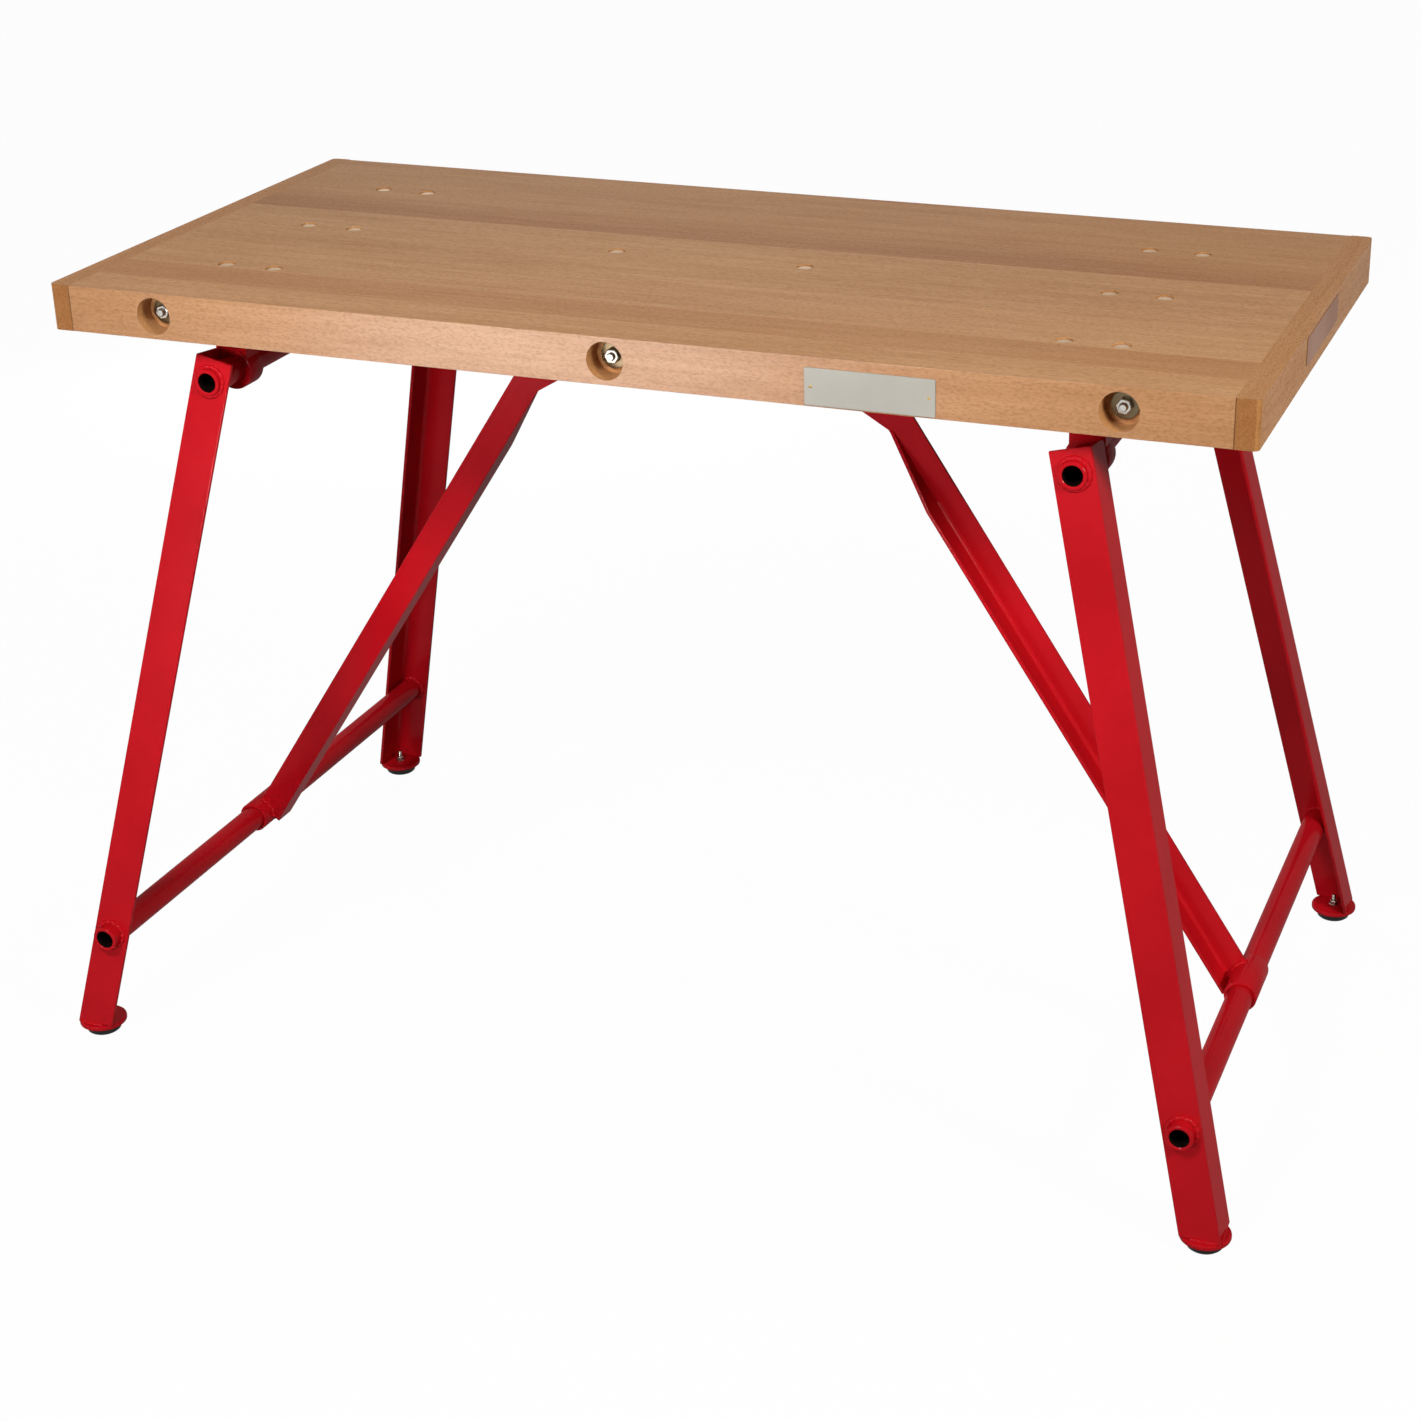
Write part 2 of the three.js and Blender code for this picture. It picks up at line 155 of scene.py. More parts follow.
def add_shape(bm, shape, matrix=None):
    """Moves a shape into place and adds it to bm."""
    if matrix is not None:
        placed(shape, matrix)
    bmesh.ops.recalc_face_normals(shape, faces=shape.faces)
    carrier = bpy.data.meshes.new("carrier")
    shape.to_mesh(carrier)
    shape.free()
    bm.from_mesh(carrier)
    bpy.data.meshes.remove(carrier)


print("piece helpers ready")

# %% [markdown]
# Three ways to start a shape: a bevelled block, a turned shape (an outline spun round an axis, as
# on a lathe) and a plate cut from an outline. Most of the bench is made of these.

# %% Blocks and turned shapes
def sharp_edges(bm, least_angle=math.radians(30)):
    found = []
    for edge in bm.edges:
        if len(edge.link_faces) == 2 and edge.calc_face_angle() > least_angle:
            found.append(edge)
    return found


def ease(bm, edges, width, segments):
    return bmesh.ops.bevel(
        bm, geom=edges, offset=width, offset_type="OFFSET", affect="EDGES",
        segments=segments, profile=0.5, material=-1, clamp_overlap=True,
    )


def block(low, high, rounding):
    shape = bmesh.new()
    bmesh.ops.create_cube(shape, size=1.0)
    low, high = Vector(low), Vector(high)
    placed(shape, Matrix.Translation((low + high) / 2) @ Matrix.Diagonal((*(high - low), 1.0)))
    ease(shape, shape.edges[:], rounding, 2)
    return shape


def turned(outline, segments, closed=False):
    """Spins an outline of (radius, height) points round the Z axis."""
    shape = bmesh.new()
    ring = [shape.verts.new((radius, 0.0, height)) for radius, height in outline]
    links = [shape.edges.new(pair) for pair in zip(ring, ring[1:])]
    if closed:
        links.append(shape.edges.new((ring[-1], ring[0])))
    bmesh.ops.spin(
        shape, geom=ring + links, cent=(0, 0, 0), axis=(0, 0, 1), dvec=(0, 0, 0),
        angle=math.tau, steps=segments, use_merge=True, use_duplicate=False,
    )
    bmesh.ops.remove_doubles(shape, verts=shape.verts, dist=1e-7)
    bmesh.ops.recalc_face_normals(shape, faces=shape.faces)
    return shape


ALONG_Y = Matrix.Rotation(-math.pi / 2, 4, "X")
print("blocks and turned shapes ready")

# %% Plates and copies
def extruded(outline, length):
    """A bar along Z whose section is an outline of (x, y) points."""
    shape = bmesh.new()
    face = shape.faces.new([shape.verts.new((x, y, 0.0)) for x, y in outline])
    pushed = bmesh.ops.extrude_face_region(shape, geom=[face])["geom"]
    moved = [item for item in pushed if isinstance(item, bmesh.types.BMVert)]
    bmesh.ops.translate(shape, verts=moved, vec=(0.0, 0.0, length))
    bmesh.ops.recalc_face_normals(shape, faces=shape.faces)
    return shape


def plate(outline, thickness, rounding, left_sharp=None):
    """A flat plate cut from an outline, with eased rims."""
    shape = extruded(outline, thickness)
    edges = sharp_edges(shape, math.radians(60))
    if left_sharp is not None:
        edges = [edge for edge in edges if not all(left_sharp(vert.co) for vert in edge.verts)]
    ease(shape, edges, rounding, 2)
    return shape


def mark_painted_shade(shape, reach):
    """Marks the faces within reach of the Z axis for the darker colour, which paints shade on them."""
    shade_and_joint = shape.faces.layers.float.new("shade_and_joint")
    for face in shape.faces:
        if face.calc_center_median().xy.length < reach:
            face[shade_and_joint] = 1.0
    return shape


def eased_copy(node, width, segments, wanted):
    """A merged copy of a CAD node, with those of its sharp edges eased that are wanted."""
    shape = bmesh.new()
    shape.from_mesh(nodes[node].data)
    bmesh.ops.remove_doubles(shape, verts=shape.verts, dist=1e-6)
    bmesh.ops.dissolve_limit(shape, angle_limit=SAME_PLANE, verts=shape.verts, edges=shape.edges)
    ease(shape, [edge for edge in sharp_edges(shape) if wanted(edge)], width, segments)
    return shape


print("plates and copies ready")

# %% [markdown]
# ## Finishes
# Each finish is a Principled shader fed by noise. Two effects are shared, so they are node
# groups: `beech_grain` draws the wood, and `uneven_film` makes a painted or plated skin slightly
# uneven. Both read Object coordinates.

# %% Node helpers
def feed(tree, node, values):
    """Links each value that is a socket to the node's input, and sets the others on it."""
    for label, item in values.items():
        if isinstance(item, bpy.types.NodeSocket):
            tree.links.new(item, node.inputs[label])
        else:
            node.inputs[label].default_value = item


def new_node(tree, kind, **values):
    """Adds a node. An input such as From Min is written from_min here."""
    node = tree.nodes.new(f"ShaderNode{kind}")
    feed(tree, node, {label.replace("_", " ").title(): item for label, item in values.items()})
    return node


print("node basics ready")

# %% Noise, ramps and blends
def noise(tree, vector, scale, detail, roughness=0.55):
    node = new_node(tree, "TexNoise", vector=vector, scale=scale, detail=detail, roughness=roughness)
    return node.outputs["Fac"]


def stretched(tree, vector, scale):
    return new_node(tree, "Mapping", vector=vector, scale=scale).outputs["Vector"]


def ramp(tree, value, low, high, to_low=0.0, to_high=1.0):
    node = new_node(
        tree, "MapRange", value=value, from_min=low, from_max=high, to_min=to_low, to_max=to_high
    )
    return node.outputs["Result"]


def calc(tree, kind, first, second):
    node = new_node(tree, "Math")
    node.operation = kind
    feed(tree, node, {0: first, 1: second})
    return node.outputs["Value"]


def blend(tree, factor, first, second, kind="MIX"):
    node = new_node(tree, "Mix")
    node.data_type = "RGBA"
    node.blend_type = kind
    order = [socket.identifier for socket in node.inputs]
    sockets = [order.index(label) for label in ("Factor_Float", "A_Color", "B_Color")]
    feed(tree, node, dict(zip(sockets, (factor, first, second))))
    return next(socket for socket in node.outputs if socket.identifier == "Result_Color")


def show_shade_and_joint(tree, colour, shade_and_joint):
    """The darker colour where the marking attribute is 1, and the other colour elsewhere: painted shade in
    tubes and on washers, a dark line in a joint.
    """
    inside = new_node(tree, "Attribute")
    inside.attribute_name = "shade_and_joint"
    return blend(tree, inside.outputs["Fac"], colour, shade_and_joint)


def bump(tree, height, strength, distance):
    return new_node(tree, "Bump", height=height, strength=strength, distance=distance).outputs["Normal"]


def new_finish(name):
    finish = bpy.data.materials.new(name)
    finish.use_nodes = True
    tree = finish.node_tree
    return finish, tree, tree.nodes["Principled BSDF"], new_node(tree, "TexCoord").outputs["Object"]


print("noise, ramps and blends ready")

# %% Node groups
def new_group(name, inputs):
    """A group that turns its inputs into a surface's Color, Roughness and Height."""
    group = bpy.data.node_groups.new(name, "ShaderNodeTree")
    for label, kind in inputs.items():
        group.interface.new_socket(label, in_out="INPUT", socket_type=f"NodeSocket{kind}")
    for label, kind in (("Color", "Color"), ("Roughness", "Float"), ("Height", "Float")):
        group.interface.new_socket(label, in_out="OUTPUT", socket_type=f"NodeSocket{kind}")
    given = group.nodes.new("NodeGroupInput").outputs
    return group, given, group.nodes.new("NodeGroupOutput")


def use_group(tree, group, values):
    node = new_node(tree, "Group")
    node.node_tree = group
    feed(tree, node, values)
    return node.outputs


print("node helpers ready")

# %% [markdown]
# ### Beech
# Steamed beech is pinkish brown, with soft growth bands along the board and thousands of short
# dark flecks. The group takes coordinates whose X axis runs along the grain. Noise that is
# stretched along X gives the bands and streaks, and a finer stretched noise, cut off high, gives
# the flecks.

# %% The grain group
def make_grain_group():
    group, given, end = new_group(
        "beech_grain", {"Vector": "Vector", "Light": "Color", "Dark": "Color", "Fleck": "Float"}
    )
    vector = given["Vector"]
    clouds = noise(group, stretched(group, vector, (1.4, 5.0, 5.0)), 1.6, 3.0)
    bands = noise(group, stretched(group, vector, (1.0, 26.0, 26.0)), 2.2, 5.0, 0.65)
    streaks = noise(group, stretched(group, vector, (6.0, 130.0, 130.0)), 2.4, 4.0, 0.7)
    flecks = noise(group, stretched(group, vector, (140.0, 360.0, 360.0)), 1.5, 3.0, 0.65)
    tone = calc(group, "MULTIPLY", ramp(group, clouds, 0.36, 0.64), 0.32)
    tone = calc(group, "ADD", tone, calc(group, "MULTIPLY", ramp(group, bands, 0.34, 0.66), 0.38))
    tone = calc(group, "ADD", tone, calc(group, "MULTIPLY", ramp(group, streaks, 0.3, 0.7), 0.42))
    colour = blend(group, tone, given["Light"], given["Dark"])
    mask = calc(group, "MULTIPLY", ramp(group, flecks, 0.46, 0.66), given["Fleck"])
    darker = blend(group, 1.0, colour, (0.62, 0.52, 0.43, 1.0), "MULTIPLY")
    rough = ramp(group, streaks, 0.2, 0.8, 0.36, 0.50)
    feed(group, end, {
        "Color": blend(group, mask, colour, darker),
        "Roughness": calc(group, "ADD", rough, calc(group, "MULTIPLY", mask, 0.15)),
        "Height": calc(group, "SUBTRACT", calc(group, "MULTIPLY", streaks, 0.5), mask),
    })
    return group


GRAIN = make_grain_group()
print("grain nodes:", len(GRAIN.nodes))

# %% Beech finishes
PORE_DEPTH = 0.0004
OPEN_JOINT = (0.24, 0.110, 0.050, 1.0)


def zone(tree, place, axis, low, high):
    """0 below low and 1 above high along one axis of the object."""
    return ramp(tree, new_node(tree, "SeparateXYZ", vector=place).outputs[axis], low, high)


def beech(name, light, dark, offset, turn=(0.0, 0.0, 0.0), fleck=0.5, tinted=None, sheen=None):
    """A wood finish whose pattern is shifted by offset, so that no two boards match.

    A zone is an axis with the places where it starts and ends. One can be tinted, which gives painted shade
    on the front edge and the wood's own tone elsewhere; one can be waxed.
    """
    finish, tree, shader, place = new_finish(name)
    shifted = new_node(tree, "Mapping", vector=place, location=offset, rotation=turn).outputs["Vector"]
    grain = use_group(tree, GRAIN, {"Vector": shifted, "Light": light, "Dark": dark, "Fleck": fleck})
    colour = grain["Color"]
    if tinted:
        *limits, tint = tinted
        colour = blend(tree, zone(tree, place, *limits), colour, tint, "MULTIPLY")
        colour = show_shade_and_joint(tree, colour, OPEN_JOINT)
    if sheen:
        even = ramp(tree, grain["Roughness"], 0.4, 0.6, 1.0, 0.55)
        waxed = calc(tree, "MULTIPLY", zone(tree, place, *sheen), even)
        feed(tree, shader, {"Coat Weight": waxed, "Coat Roughness": 0.26})
    feed(tree, shader, {
        "Base Color": colour,
        "Roughness": grain["Roughness"],
        "Normal": bump(tree, grain["Height"], 0.25, PORE_DEPTH),
        "Specular IOR Level": 0.05,
    })
    return finish


print("beech ready")

# %% [markdown]
# ### Paint, plating, plate metal and rubber
# The red is a thick enamel with little gloss. `uneven_film` gives it the slight orange peel of
# sprayed paint and a faint change of depth. Zinc plating, the satin plates and the rubber pads
# use the same group with other values. Marked faces show a second, darker colour: painted shade
# inside a tube, where there is also unpainted steel, painted shade on the washers, and a dark line in a
# cleat's joint.

# %% The film group
def make_film_group():
    group, given, end = new_group("uneven_film", {
        "Vector": "Vector", "Color": "Color", "Deep Color": "Color", "Peel Scale": "Float",
        "Low Roughness": "Float", "High Roughness": "Float",
    })
    vector = given["Vector"]
    shade = ramp(group, noise(group, vector, 9.0, 4.0), 0.35, 0.68)
    specks = noise(group, vector, 420.0, 2.0)
    spread = calc(group, "SUBTRACT", given["High Roughness"], given["Low Roughness"])
    mixed = calc(group, "ADD", calc(group, "MULTIPLY", shade, 0.6), calc(group, "MULTIPLY", specks, 0.4))
    feed(group, end, {
        "Color": blend(group, shade, given["Color"], given["Deep Color"]),
        "Roughness": calc(group, "ADD", given["Low Roughness"], calc(group, "MULTIPLY", mixed, spread)),
        "Height": noise(group, vector, given["Peel Scale"], 2.0, 0.5),
    })
    return group


FILM = make_film_group()
print("film nodes:", len(FILM.nodes))

# %% The other finishes
PEEL_DEPTH = 0.0004


def film(name, colour, deep, peel_scale, rough, strength, metallic=0.0, gloss=0.5, coat=0.0, shade_and_joint=None):
    """A skin that is slightly uneven in colour, roughness and height."""
    finish, tree, shader, place = new_finish(name)
    skin = use_group(tree, FILM, {
        "Vector": place, "Color": colour, "Deep Color": deep, "Peel Scale": peel_scale,
        "Low Roughness": rough[0], "High Roughness": rough[1],
    })
    feed(tree, shader, {
        "Base Color": show_shade_and_joint(tree, skin["Color"], shade_and_joint) if shade_and_joint else skin["Color"],
        "Roughness": skin["Roughness"],
        "Normal": bump(tree, skin["Height"], strength, PEEL_DEPTH),
        "Metallic": metallic,
        "Specular IOR Level": gloss,
        "Coat Weight": coat,
        "Coat Roughness": 0.16,
    })
    return finish


# The red's second colour is near black: the unpainted steel inside the tubes, deepened with painted shade.
RED = film(
    "red_enamel", (0.56, 0.007, 0.014, 1), (0.48, 0.005, 0.011, 1), 170.0, (0.35, 0.50), 0.06,
    gloss=0.0, coat=0.12, shade_and_joint=(0.010, 0.006, 0.005, 1),
)
# The zinc's darker second colour is painted shade, used on the washers deep in the counterbores.
ZINC = film(
    "dull_zinc", (0.44, 0.42, 0.38, 1), (0.26, 0.25, 0.22, 1), 700.0, (0.22, 0.38), 0.08,
    metallic=1.0, shade_and_joint=(0.13, 0.095, 0.055, 1),
)
HEAD = film(
    "bolt_head", (0.50, 0.34, 0.205, 1), (0.43, 0.28, 0.16, 1), 700.0, (0.34, 0.48), 0.08, metallic=1.0
)
SATIN = film(
    "satin_plate", (0.36, 0.345, 0.305, 1), (0.325, 0.31, 0.272, 1), 900.0, (0.42, 0.55), 0.03, metallic=0.3
)
LABEL = film(
    "dull_label", (0.33, 0.165, 0.105, 1), (0.285, 0.140, 0.090, 1), 500.0, (0.45, 0.6), 0.03, gloss=0.15
)
BRASS = film(
    "brass_pin", (0.55, 0.38, 0.14, 1), (0.40, 0.26, 0.09, 1), 900.0, (0.3, 0.45), 0.03, metallic=1.0
)
RUBBER = film(
    "black_rubber", (0.012, 0.012, 0.013, 1), (0.02, 0.019, 0.018, 1), 600.0, (0.6, 0.8), 0.3, gloss=0.2
)
print("finishes:", len(bpy.data.materials))

# %% [markdown]
# ## The top
# Five boards are glued edge to edge, with a cleat across each end. Copies of the CAD boards keep
# their bored holes. The arrises that a hand meets and the rims of the counterbores are rounded; the
# glued edges stay sharp, so the joints read as fine lines. Each board has its own tone and its own
# stretch of grain. The front edge is waxed and made a little darker with painted shade, and the back board
# has a dark strip.

# %% Boards
ARRIS = 0.0022
BOARD_TONES = (
    ((0.67, 0.365, 0.168, 1), (0.49, 0.232, 0.088, 1)),
    ((0.58, 0.290, 0.120, 1), (0.44, 0.192, 0.066, 1)),
    ((0.66, 0.365, 0.170, 1), (0.48, 0.232, 0.090, 1)),
    ((0.64, 0.352, 0.163, 1), (0.47, 0.228, 0.088, 1)),
    ((0.59, 0.310, 0.135, 1), (0.44, 0.204, 0.074, 1)),
)
FRONT_EDGE = ("Y", -HALF_WIDTH + 0.0015, -HALF_WIDTH + 0.0002)
DARK_STRIP = ("Y", 0.150, 0.085)
# Board 1's front edge is darkened with painted shade; board 5's dark strip is the wood's own tone.
SHADE_AND_STRIP_ZONES = {1: (*FRONT_EDGE, (0.82, 0.76, 0.70, 1)), 5: (*DARK_STRIP, (0.82, 0.74, 0.68, 1))}


def on_outer_arris(edge):
    """The long arrises and the rims of the counterbores, but not the joints with the cleats."""
    places = [vert.co for vert in edge.verts]
    if any(abs(abs(place.y) - HALF_WIDTH) > 1e-5 for place in places):
        return False
    on_rim = all(min(TOP_HEIGHT - place.z, place.z - UNDERSIDE) < 1e-5 for place in places)
    inside = all(abs(place.x - TOP_MIDDLE) < CLEAT_JOINT - 1e-4 for place in places)
    return on_rim or inside


for number, (light, dark) in enumerate(BOARD_TONES, start=1):
    name = f"board_{number}"
    finish = beech(
        f"beech_{name}", light, dark, (0.37 * number, 0.113 * number, 0.071 * number),
        tinted=SHADE_AND_STRIP_ZONES.get(number), sheen=FRONT_EDGE if number == 1 else None,
    )
    copy = eased_copy(name, ARRIS, 3, on_outer_arris)
    finish_piece(f"{name}_wood", copy, finish, "top", [name])
print("boards dressed")

# %% [markdown]
# The cleats' grain runs across the bench, so the pattern is turned a quarter. Their long outer
# edges are rounded more. At the front their end grain is darker, and a fine groove with dark faces
# shows where the joint with the boards comes out.

# %% Cleats
ACROSS = (0.0, 0.0, math.radians(90))
CLEAT_ROUNDING = 0.006
GROOVE = 0.0010
END_GRAIN = ("Y", -HALF_WIDTH + 0.0008, -HALF_WIDTH + 0.0002, (0.74, 0.68, 0.64, 1))


def from_middle(vert):
    return abs(vert.co.x - TOP_MIDDLE)


def on_long_outside(edge):
    outside = all(from_middle(vert) > CLEAT_JOINT + 1e-4 for vert in edge.verts)
    return outside and edge.calc_length() > HALF_WIDTH


def groove_joint(shape):
    """Opens a cleat's joint a little at its ends and marks the groove for the dark colour of a joint line.
    """
    shade_and_joint = shape.faces.layers.float.new("shade_and_joint")
    joint = []
    for edge in sharp_edges(shape):
        upright = abs(edge.verts[0].co.y - edge.verts[1].co.y) < 1e-5
        if upright and all(abs(from_middle(vert) - CLEAT_JOINT) < 1e-5 for vert in edge.verts):
            joint.append(edge)
    for face in ease(shape, joint, GROOVE, 1)["faces"]:
        face[shade_and_joint] = 1.0


for side, sign in SIDES:
    finish = beech(
        f"beech_{side}_cleat", (0.57, 0.278, 0.107, 1), (0.45, 0.200, 0.067, 1), (0.2 * sign, 0.5, 0.3),
        ACROSS, 0.6, tinted=END_GRAIN,
    )
    copy = eased_copy(f"{side}_cleat", CLEAT_ROUNDING, 5, on_long_outside)
    groove_joint(copy)
    finish_piece(f"{side}_cleat_wood", copy, finish, "top", [f"{side}_cleat"])
print("cleats dressed")

# %% [markdown]
# ## Tie rods
# Three threaded rods clamp the boards together. Each end sits in a deep counterbore with a washer
# and a hexagon nut. The thread is a zigzag outline, spun on the lathe helper; at this size rings
# read as a thread. The washers are marked all over for the darker colour, which is painted shade
# from the deep counterbore, so they are darker than the nuts.

# %% Rods, washers and nuts
ROD_X = (-0.484 + TOP_MIDDLE, -0.005 + TOP_MIDDLE, 0.478 + TOP_MIDDLE)
ROD_RADIUS = 0.004
COUNTERBORE_DEPTH = 0.024
WASHER_RADIUS, WASHER_THICKNESS = 0.013, 0.0025
NUT_FLATS, NUT_THICKNESS = 0.013, 0.0065
NUT_SPIN = 17.0
ROD_BEYOND_NUT = 0.003
THREADED, PITCH = 0.014, 0.0014
SEAT = HALF_WIDTH - COUNTERBORE_DEPTH
ROD_END = SEAT + WASHER_THICKNESS + NUT_THICKNESS + ROD_BEYOND_NUT


def threaded_rod(radius, half_length):
    ridges = []
    for step in range(int(THREADED / PITCH)):
        at = half_length - 0.0012 - step * PITCH
        ridges += [(radius, at), (radius - 0.0006, at - PITCH / 2)]
    end = [(0.0, half_length), (radius - 0.001, half_length)]
    one_end = end + ridges
    other_end = [(r, -h) for r, h in reversed(one_end)]
    return turned(one_end + other_end, 32)


def ring(inner, outer, thickness, edge):
    outline = [
        (inner, 0.0), (outer - edge, 0.0), (outer, edge), (outer, thickness - edge),
        (outer - edge, thickness), (inner, thickness),
    ]
    return turned(outline, 48, closed=True)


def hexagon(flats, thickness, edge):
    reach = flats / 2 / math.cos(math.pi / 6)
    outline = [(reach * math.cos(i * math.tau / 6), reach * math.sin(i * math.tau / 6)) for i in range(6)]
    return plate(outline, thickness, edge)


for name, x in zip(("left", "middle", "right"), ROD_X):
    rod = placed(threaded_rod(ROD_RADIUS, ROD_END), Matrix.Translation((x, 0, ROD_HEIGHT)) @ ALONG_Y)
    finish_piece(f"tie_rod_{name}_steel", rod, ZINC, "top", [f"tie_rod_{name}"])
    for place, sign in PLACES:
        bm = bmesh.new()
        turn = Matrix.Rotation(sign * -math.pi / 2, 4, "X")
        seat = Matrix.Translation((x, sign * SEAT, ROD_HEIGHT)) @ turn
        washer = ring(ROD_RADIUS, WASHER_RADIUS, WASHER_THICKNESS, 0.0004)
        # Painted shade: the whole washer takes the darker colour of the shade in the counterbore.
        add_shape(bm, mark_painted_shade(washer, 2 * WASHER_RADIUS), seat)
        spun = Matrix.Rotation(NUT_SPIN * x, 4, "Z")
        raised = Matrix.Translation((0, 0, WASHER_THICKNESS))
        add_shape(bm, hexagon(NUT_FLATS, NUT_THICKNESS, 0.0010), seat @ raised @ spun)
        node = f"tie_nut_{name}_{place}"
        finish_piece(f"{node}_steel", bm, ZINC, "top", [node])
print("tie rods, washers and nuts made")

# %% [markdown]
# ## Bolts through the top
# Fourteen bolts hold the hinge brackets and the keepers. Their low domed heads lie just under the
# surface of the wood, and their nuts sit under the brackets.

# %% Bolts
BOLT_RADIUS = 0.004
HEAD_RADIUS, HEAD_SINK = 0.0085, 0.0006
HINGE_ROWS = (("front", -0.164), ("middle", 0.0), ("back", 0.164))
HINGE_BOLTS = {"left": -HINGE_X - 0.001, "right": HINGE_X - 0.0105}
KEEPER_BOLTS = {"left": -PIN_X - 0.0053, "right": PIN_X - 0.0152}
BOLT_SPREAD = 0.027
BRACKET_THICKNESS, KEEPER_THICKNESS = 0.006, 0.005


def bolt(grip):
    """A bolt with its head at the top surface and its end under a nut below a bracket."""
    top = TOP_HEIGHT - HEAD_SINK
    end = UNDERSIDE - grip - NUT_THICKNESS - 0.002
    outline = [
        (0.0, top), (HEAD_RADIUS * 0.45, top - 0.0001), (HEAD_RADIUS * 0.8, top - 0.0005),
        (HEAD_RADIUS - 0.0003, top - 0.0012), (HEAD_RADIUS, top - 0.0018), (HEAD_RADIUS, top - 0.004),
        (BOLT_RADIUS, top - 0.004), (BOLT_RADIUS, end + 0.0008), (BOLT_RADIUS - 0.0008, end), (0.0, end),
    ]
    bm = turned(outline, 32)
    nut_place = Matrix.Translation((0, 0, UNDERSIDE - grip - NUT_THICKNESS))
    add_shape(bm, hexagon(NUT_FLATS, NUT_THICKNESS, 0.0007), nut_place)
    return bm


def place_bolt(node, x, y, grip):
    bm = placed(bolt(grip), Matrix.Translation((x, y, 0)))
    finish_piece(f"{node}_steel", bm, HEAD, "top", [node])


for side, sign in SIDES:
    for row, y in HINGE_ROWS:
        for half, step in SIDES:
            x = HINGE_BOLTS[side] + step * BOLT_SPREAD
            place_bolt(f"{side}_hinge_{row}_bolt_{half}", x, y, BRACKET_THICKNESS)
    place_bolt(f"{side}_keeper_bolt", KEEPER_BOLTS[side], 0.0, KEEPER_THICKNESS)
print("bolts made")

# %% [markdown]
# ## Weld beads
# The frames are welded. A bead round a tube is a small circle spun about the tube's axis, then
# swollen and thinned along the way as the welder moved on. A straight bead is a turned spindle
# with the same ripples. Under thick paint the ripples stay soft.

# %% The bead helpers
BEAD_SIDES, RING_STEPS = 10, 90
RIPPLE, SAG = 0.13, 0.22
RING_RIPPLES, RUN_PITCH = 15, 0.0042


def weld_ring(radius, size, sweep=math.tau):
    """A bead round the Z axis, or over part of a turn from the X axis on."""
    shape = bmesh.new()
    whole = sweep > math.radians(359)
    at = Matrix.Translation((radius, 0, 0)) @ Matrix.Rotation(math.pi / 2, 4, "X")
    bmesh.ops.create_circle(shape, segments=BEAD_SIDES, radius=size, matrix=at)
    bmesh.ops.spin(
        shape, geom=shape.verts[:] + shape.edges[:], cent=(0, 0, 0), axis=(0, 0, 1), dvec=(0, 0, 0),
        angle=sweep, steps=round(RING_STEPS * sweep / math.tau), use_merge=whole, use_duplicate=False,
    )
    bmesh.ops.remove_doubles(shape, verts=shape.verts, dist=1e-7)
    for vert in shape.verts:
        turn = math.atan2(vert.co.y, vert.co.x) % math.tau
        middle = radius * Vector((math.cos(turn), math.sin(turn), 0.0))
        growth = 1 + RIPPLE * math.sin(RING_RIPPLES * turn) + SAG * math.sin(turn + 1.0)
        if not whole:
            growth *= min(1.0, 0.5 + 4 * max(0.0, min(turn, sweep - turn)))
        vert.co = middle + (vert.co - middle) * growth
    if not whole:
        bmesh.ops.holes_fill(shape, edges=[edge for edge in shape.edges if edge.is_boundary])
    return shape


def weld_run(start, end, size):
    """A straight bead between two points."""
    start, end = Vector(start), Vector(end)
    length = (end - start).length
    count = round(length / 0.001)
    outline = [(0.0, 0.0)]
    for step in range(1, count):
        height = length * step / count
        tapered = min(1.0, 0.5 + 120 * min(height, length - height))
        outline.append((size * tapered * (1 + RIPPLE * math.sin(math.tau * height / RUN_PITCH)), height))
    outline.append((0.0, length))
    shape = turned(outline, BEAD_SIDES)
    aim = (end - start).to_track_quat("Z", "Y").to_matrix().to_4x4()
    return placed(shape, Matrix.Translation(start) @ aim)


print("weld beads ready")

# %% [markdown]
# ## Leg frames
# Each frame has two legs of angle iron, a pivot tube at the top and a crossbar near the floor.
# The legs are copies of the CAD legs with softened edges, plus the round fillet that rolled angle
# iron has in its inner corner. The fillet starts out longer than the leaning leg and is cut off at
# the foot. The tubes are turned, with open ends.

# %% Frame axes, tubes and fillets
HEEL_AT_HINGE, HEEL_OUT = 0.260, 0.01975
LEG_WALL, LEG_ABOVE = 0.004, 0.023
PIVOT_HALF, CROSSBAR_HALF = 0.266, 0.356
PAD_HEIGHT, FOOT_PLATE = 0.010, 0.005
FOOT_TOP = PAD_HEIGHT + FOOT_PLATE
FOOT_INSET = 0.018
LEAN_ALLOWANCE = 1.06


def frame_axes(sign):
    """Hinge at the origin, +X outwards, -Z down the frame."""
    turn = Matrix.Rotation(math.pi if sign < 0 else 0.0, 4, "Z")
    return Matrix.Translation((sign * HINGE_X, 0, HINGE_Z)) @ turn @ Matrix.Rotation(-FRAME_TILT, 4, "Y")


def tube(half_length):
    """A tube along Z. Paint only reaches its mouth; its bore is marked for a near-black colour, unpainted
    steel deepened with painted shade.
    """
    edge = 0.0008
    outline = [
        (TUBE_BORE, -half_length + edge), (TUBE_BORE + edge, -half_length),
        (TUBE_RADIUS - edge, -half_length), (TUBE_RADIUS, -half_length + edge),
    ]
    outline += [(radius, -height) for radius, height in reversed(outline)]
    return mark_painted_shade(turned(outline, 64, closed=True), TUBE_BORE + 0.0001)


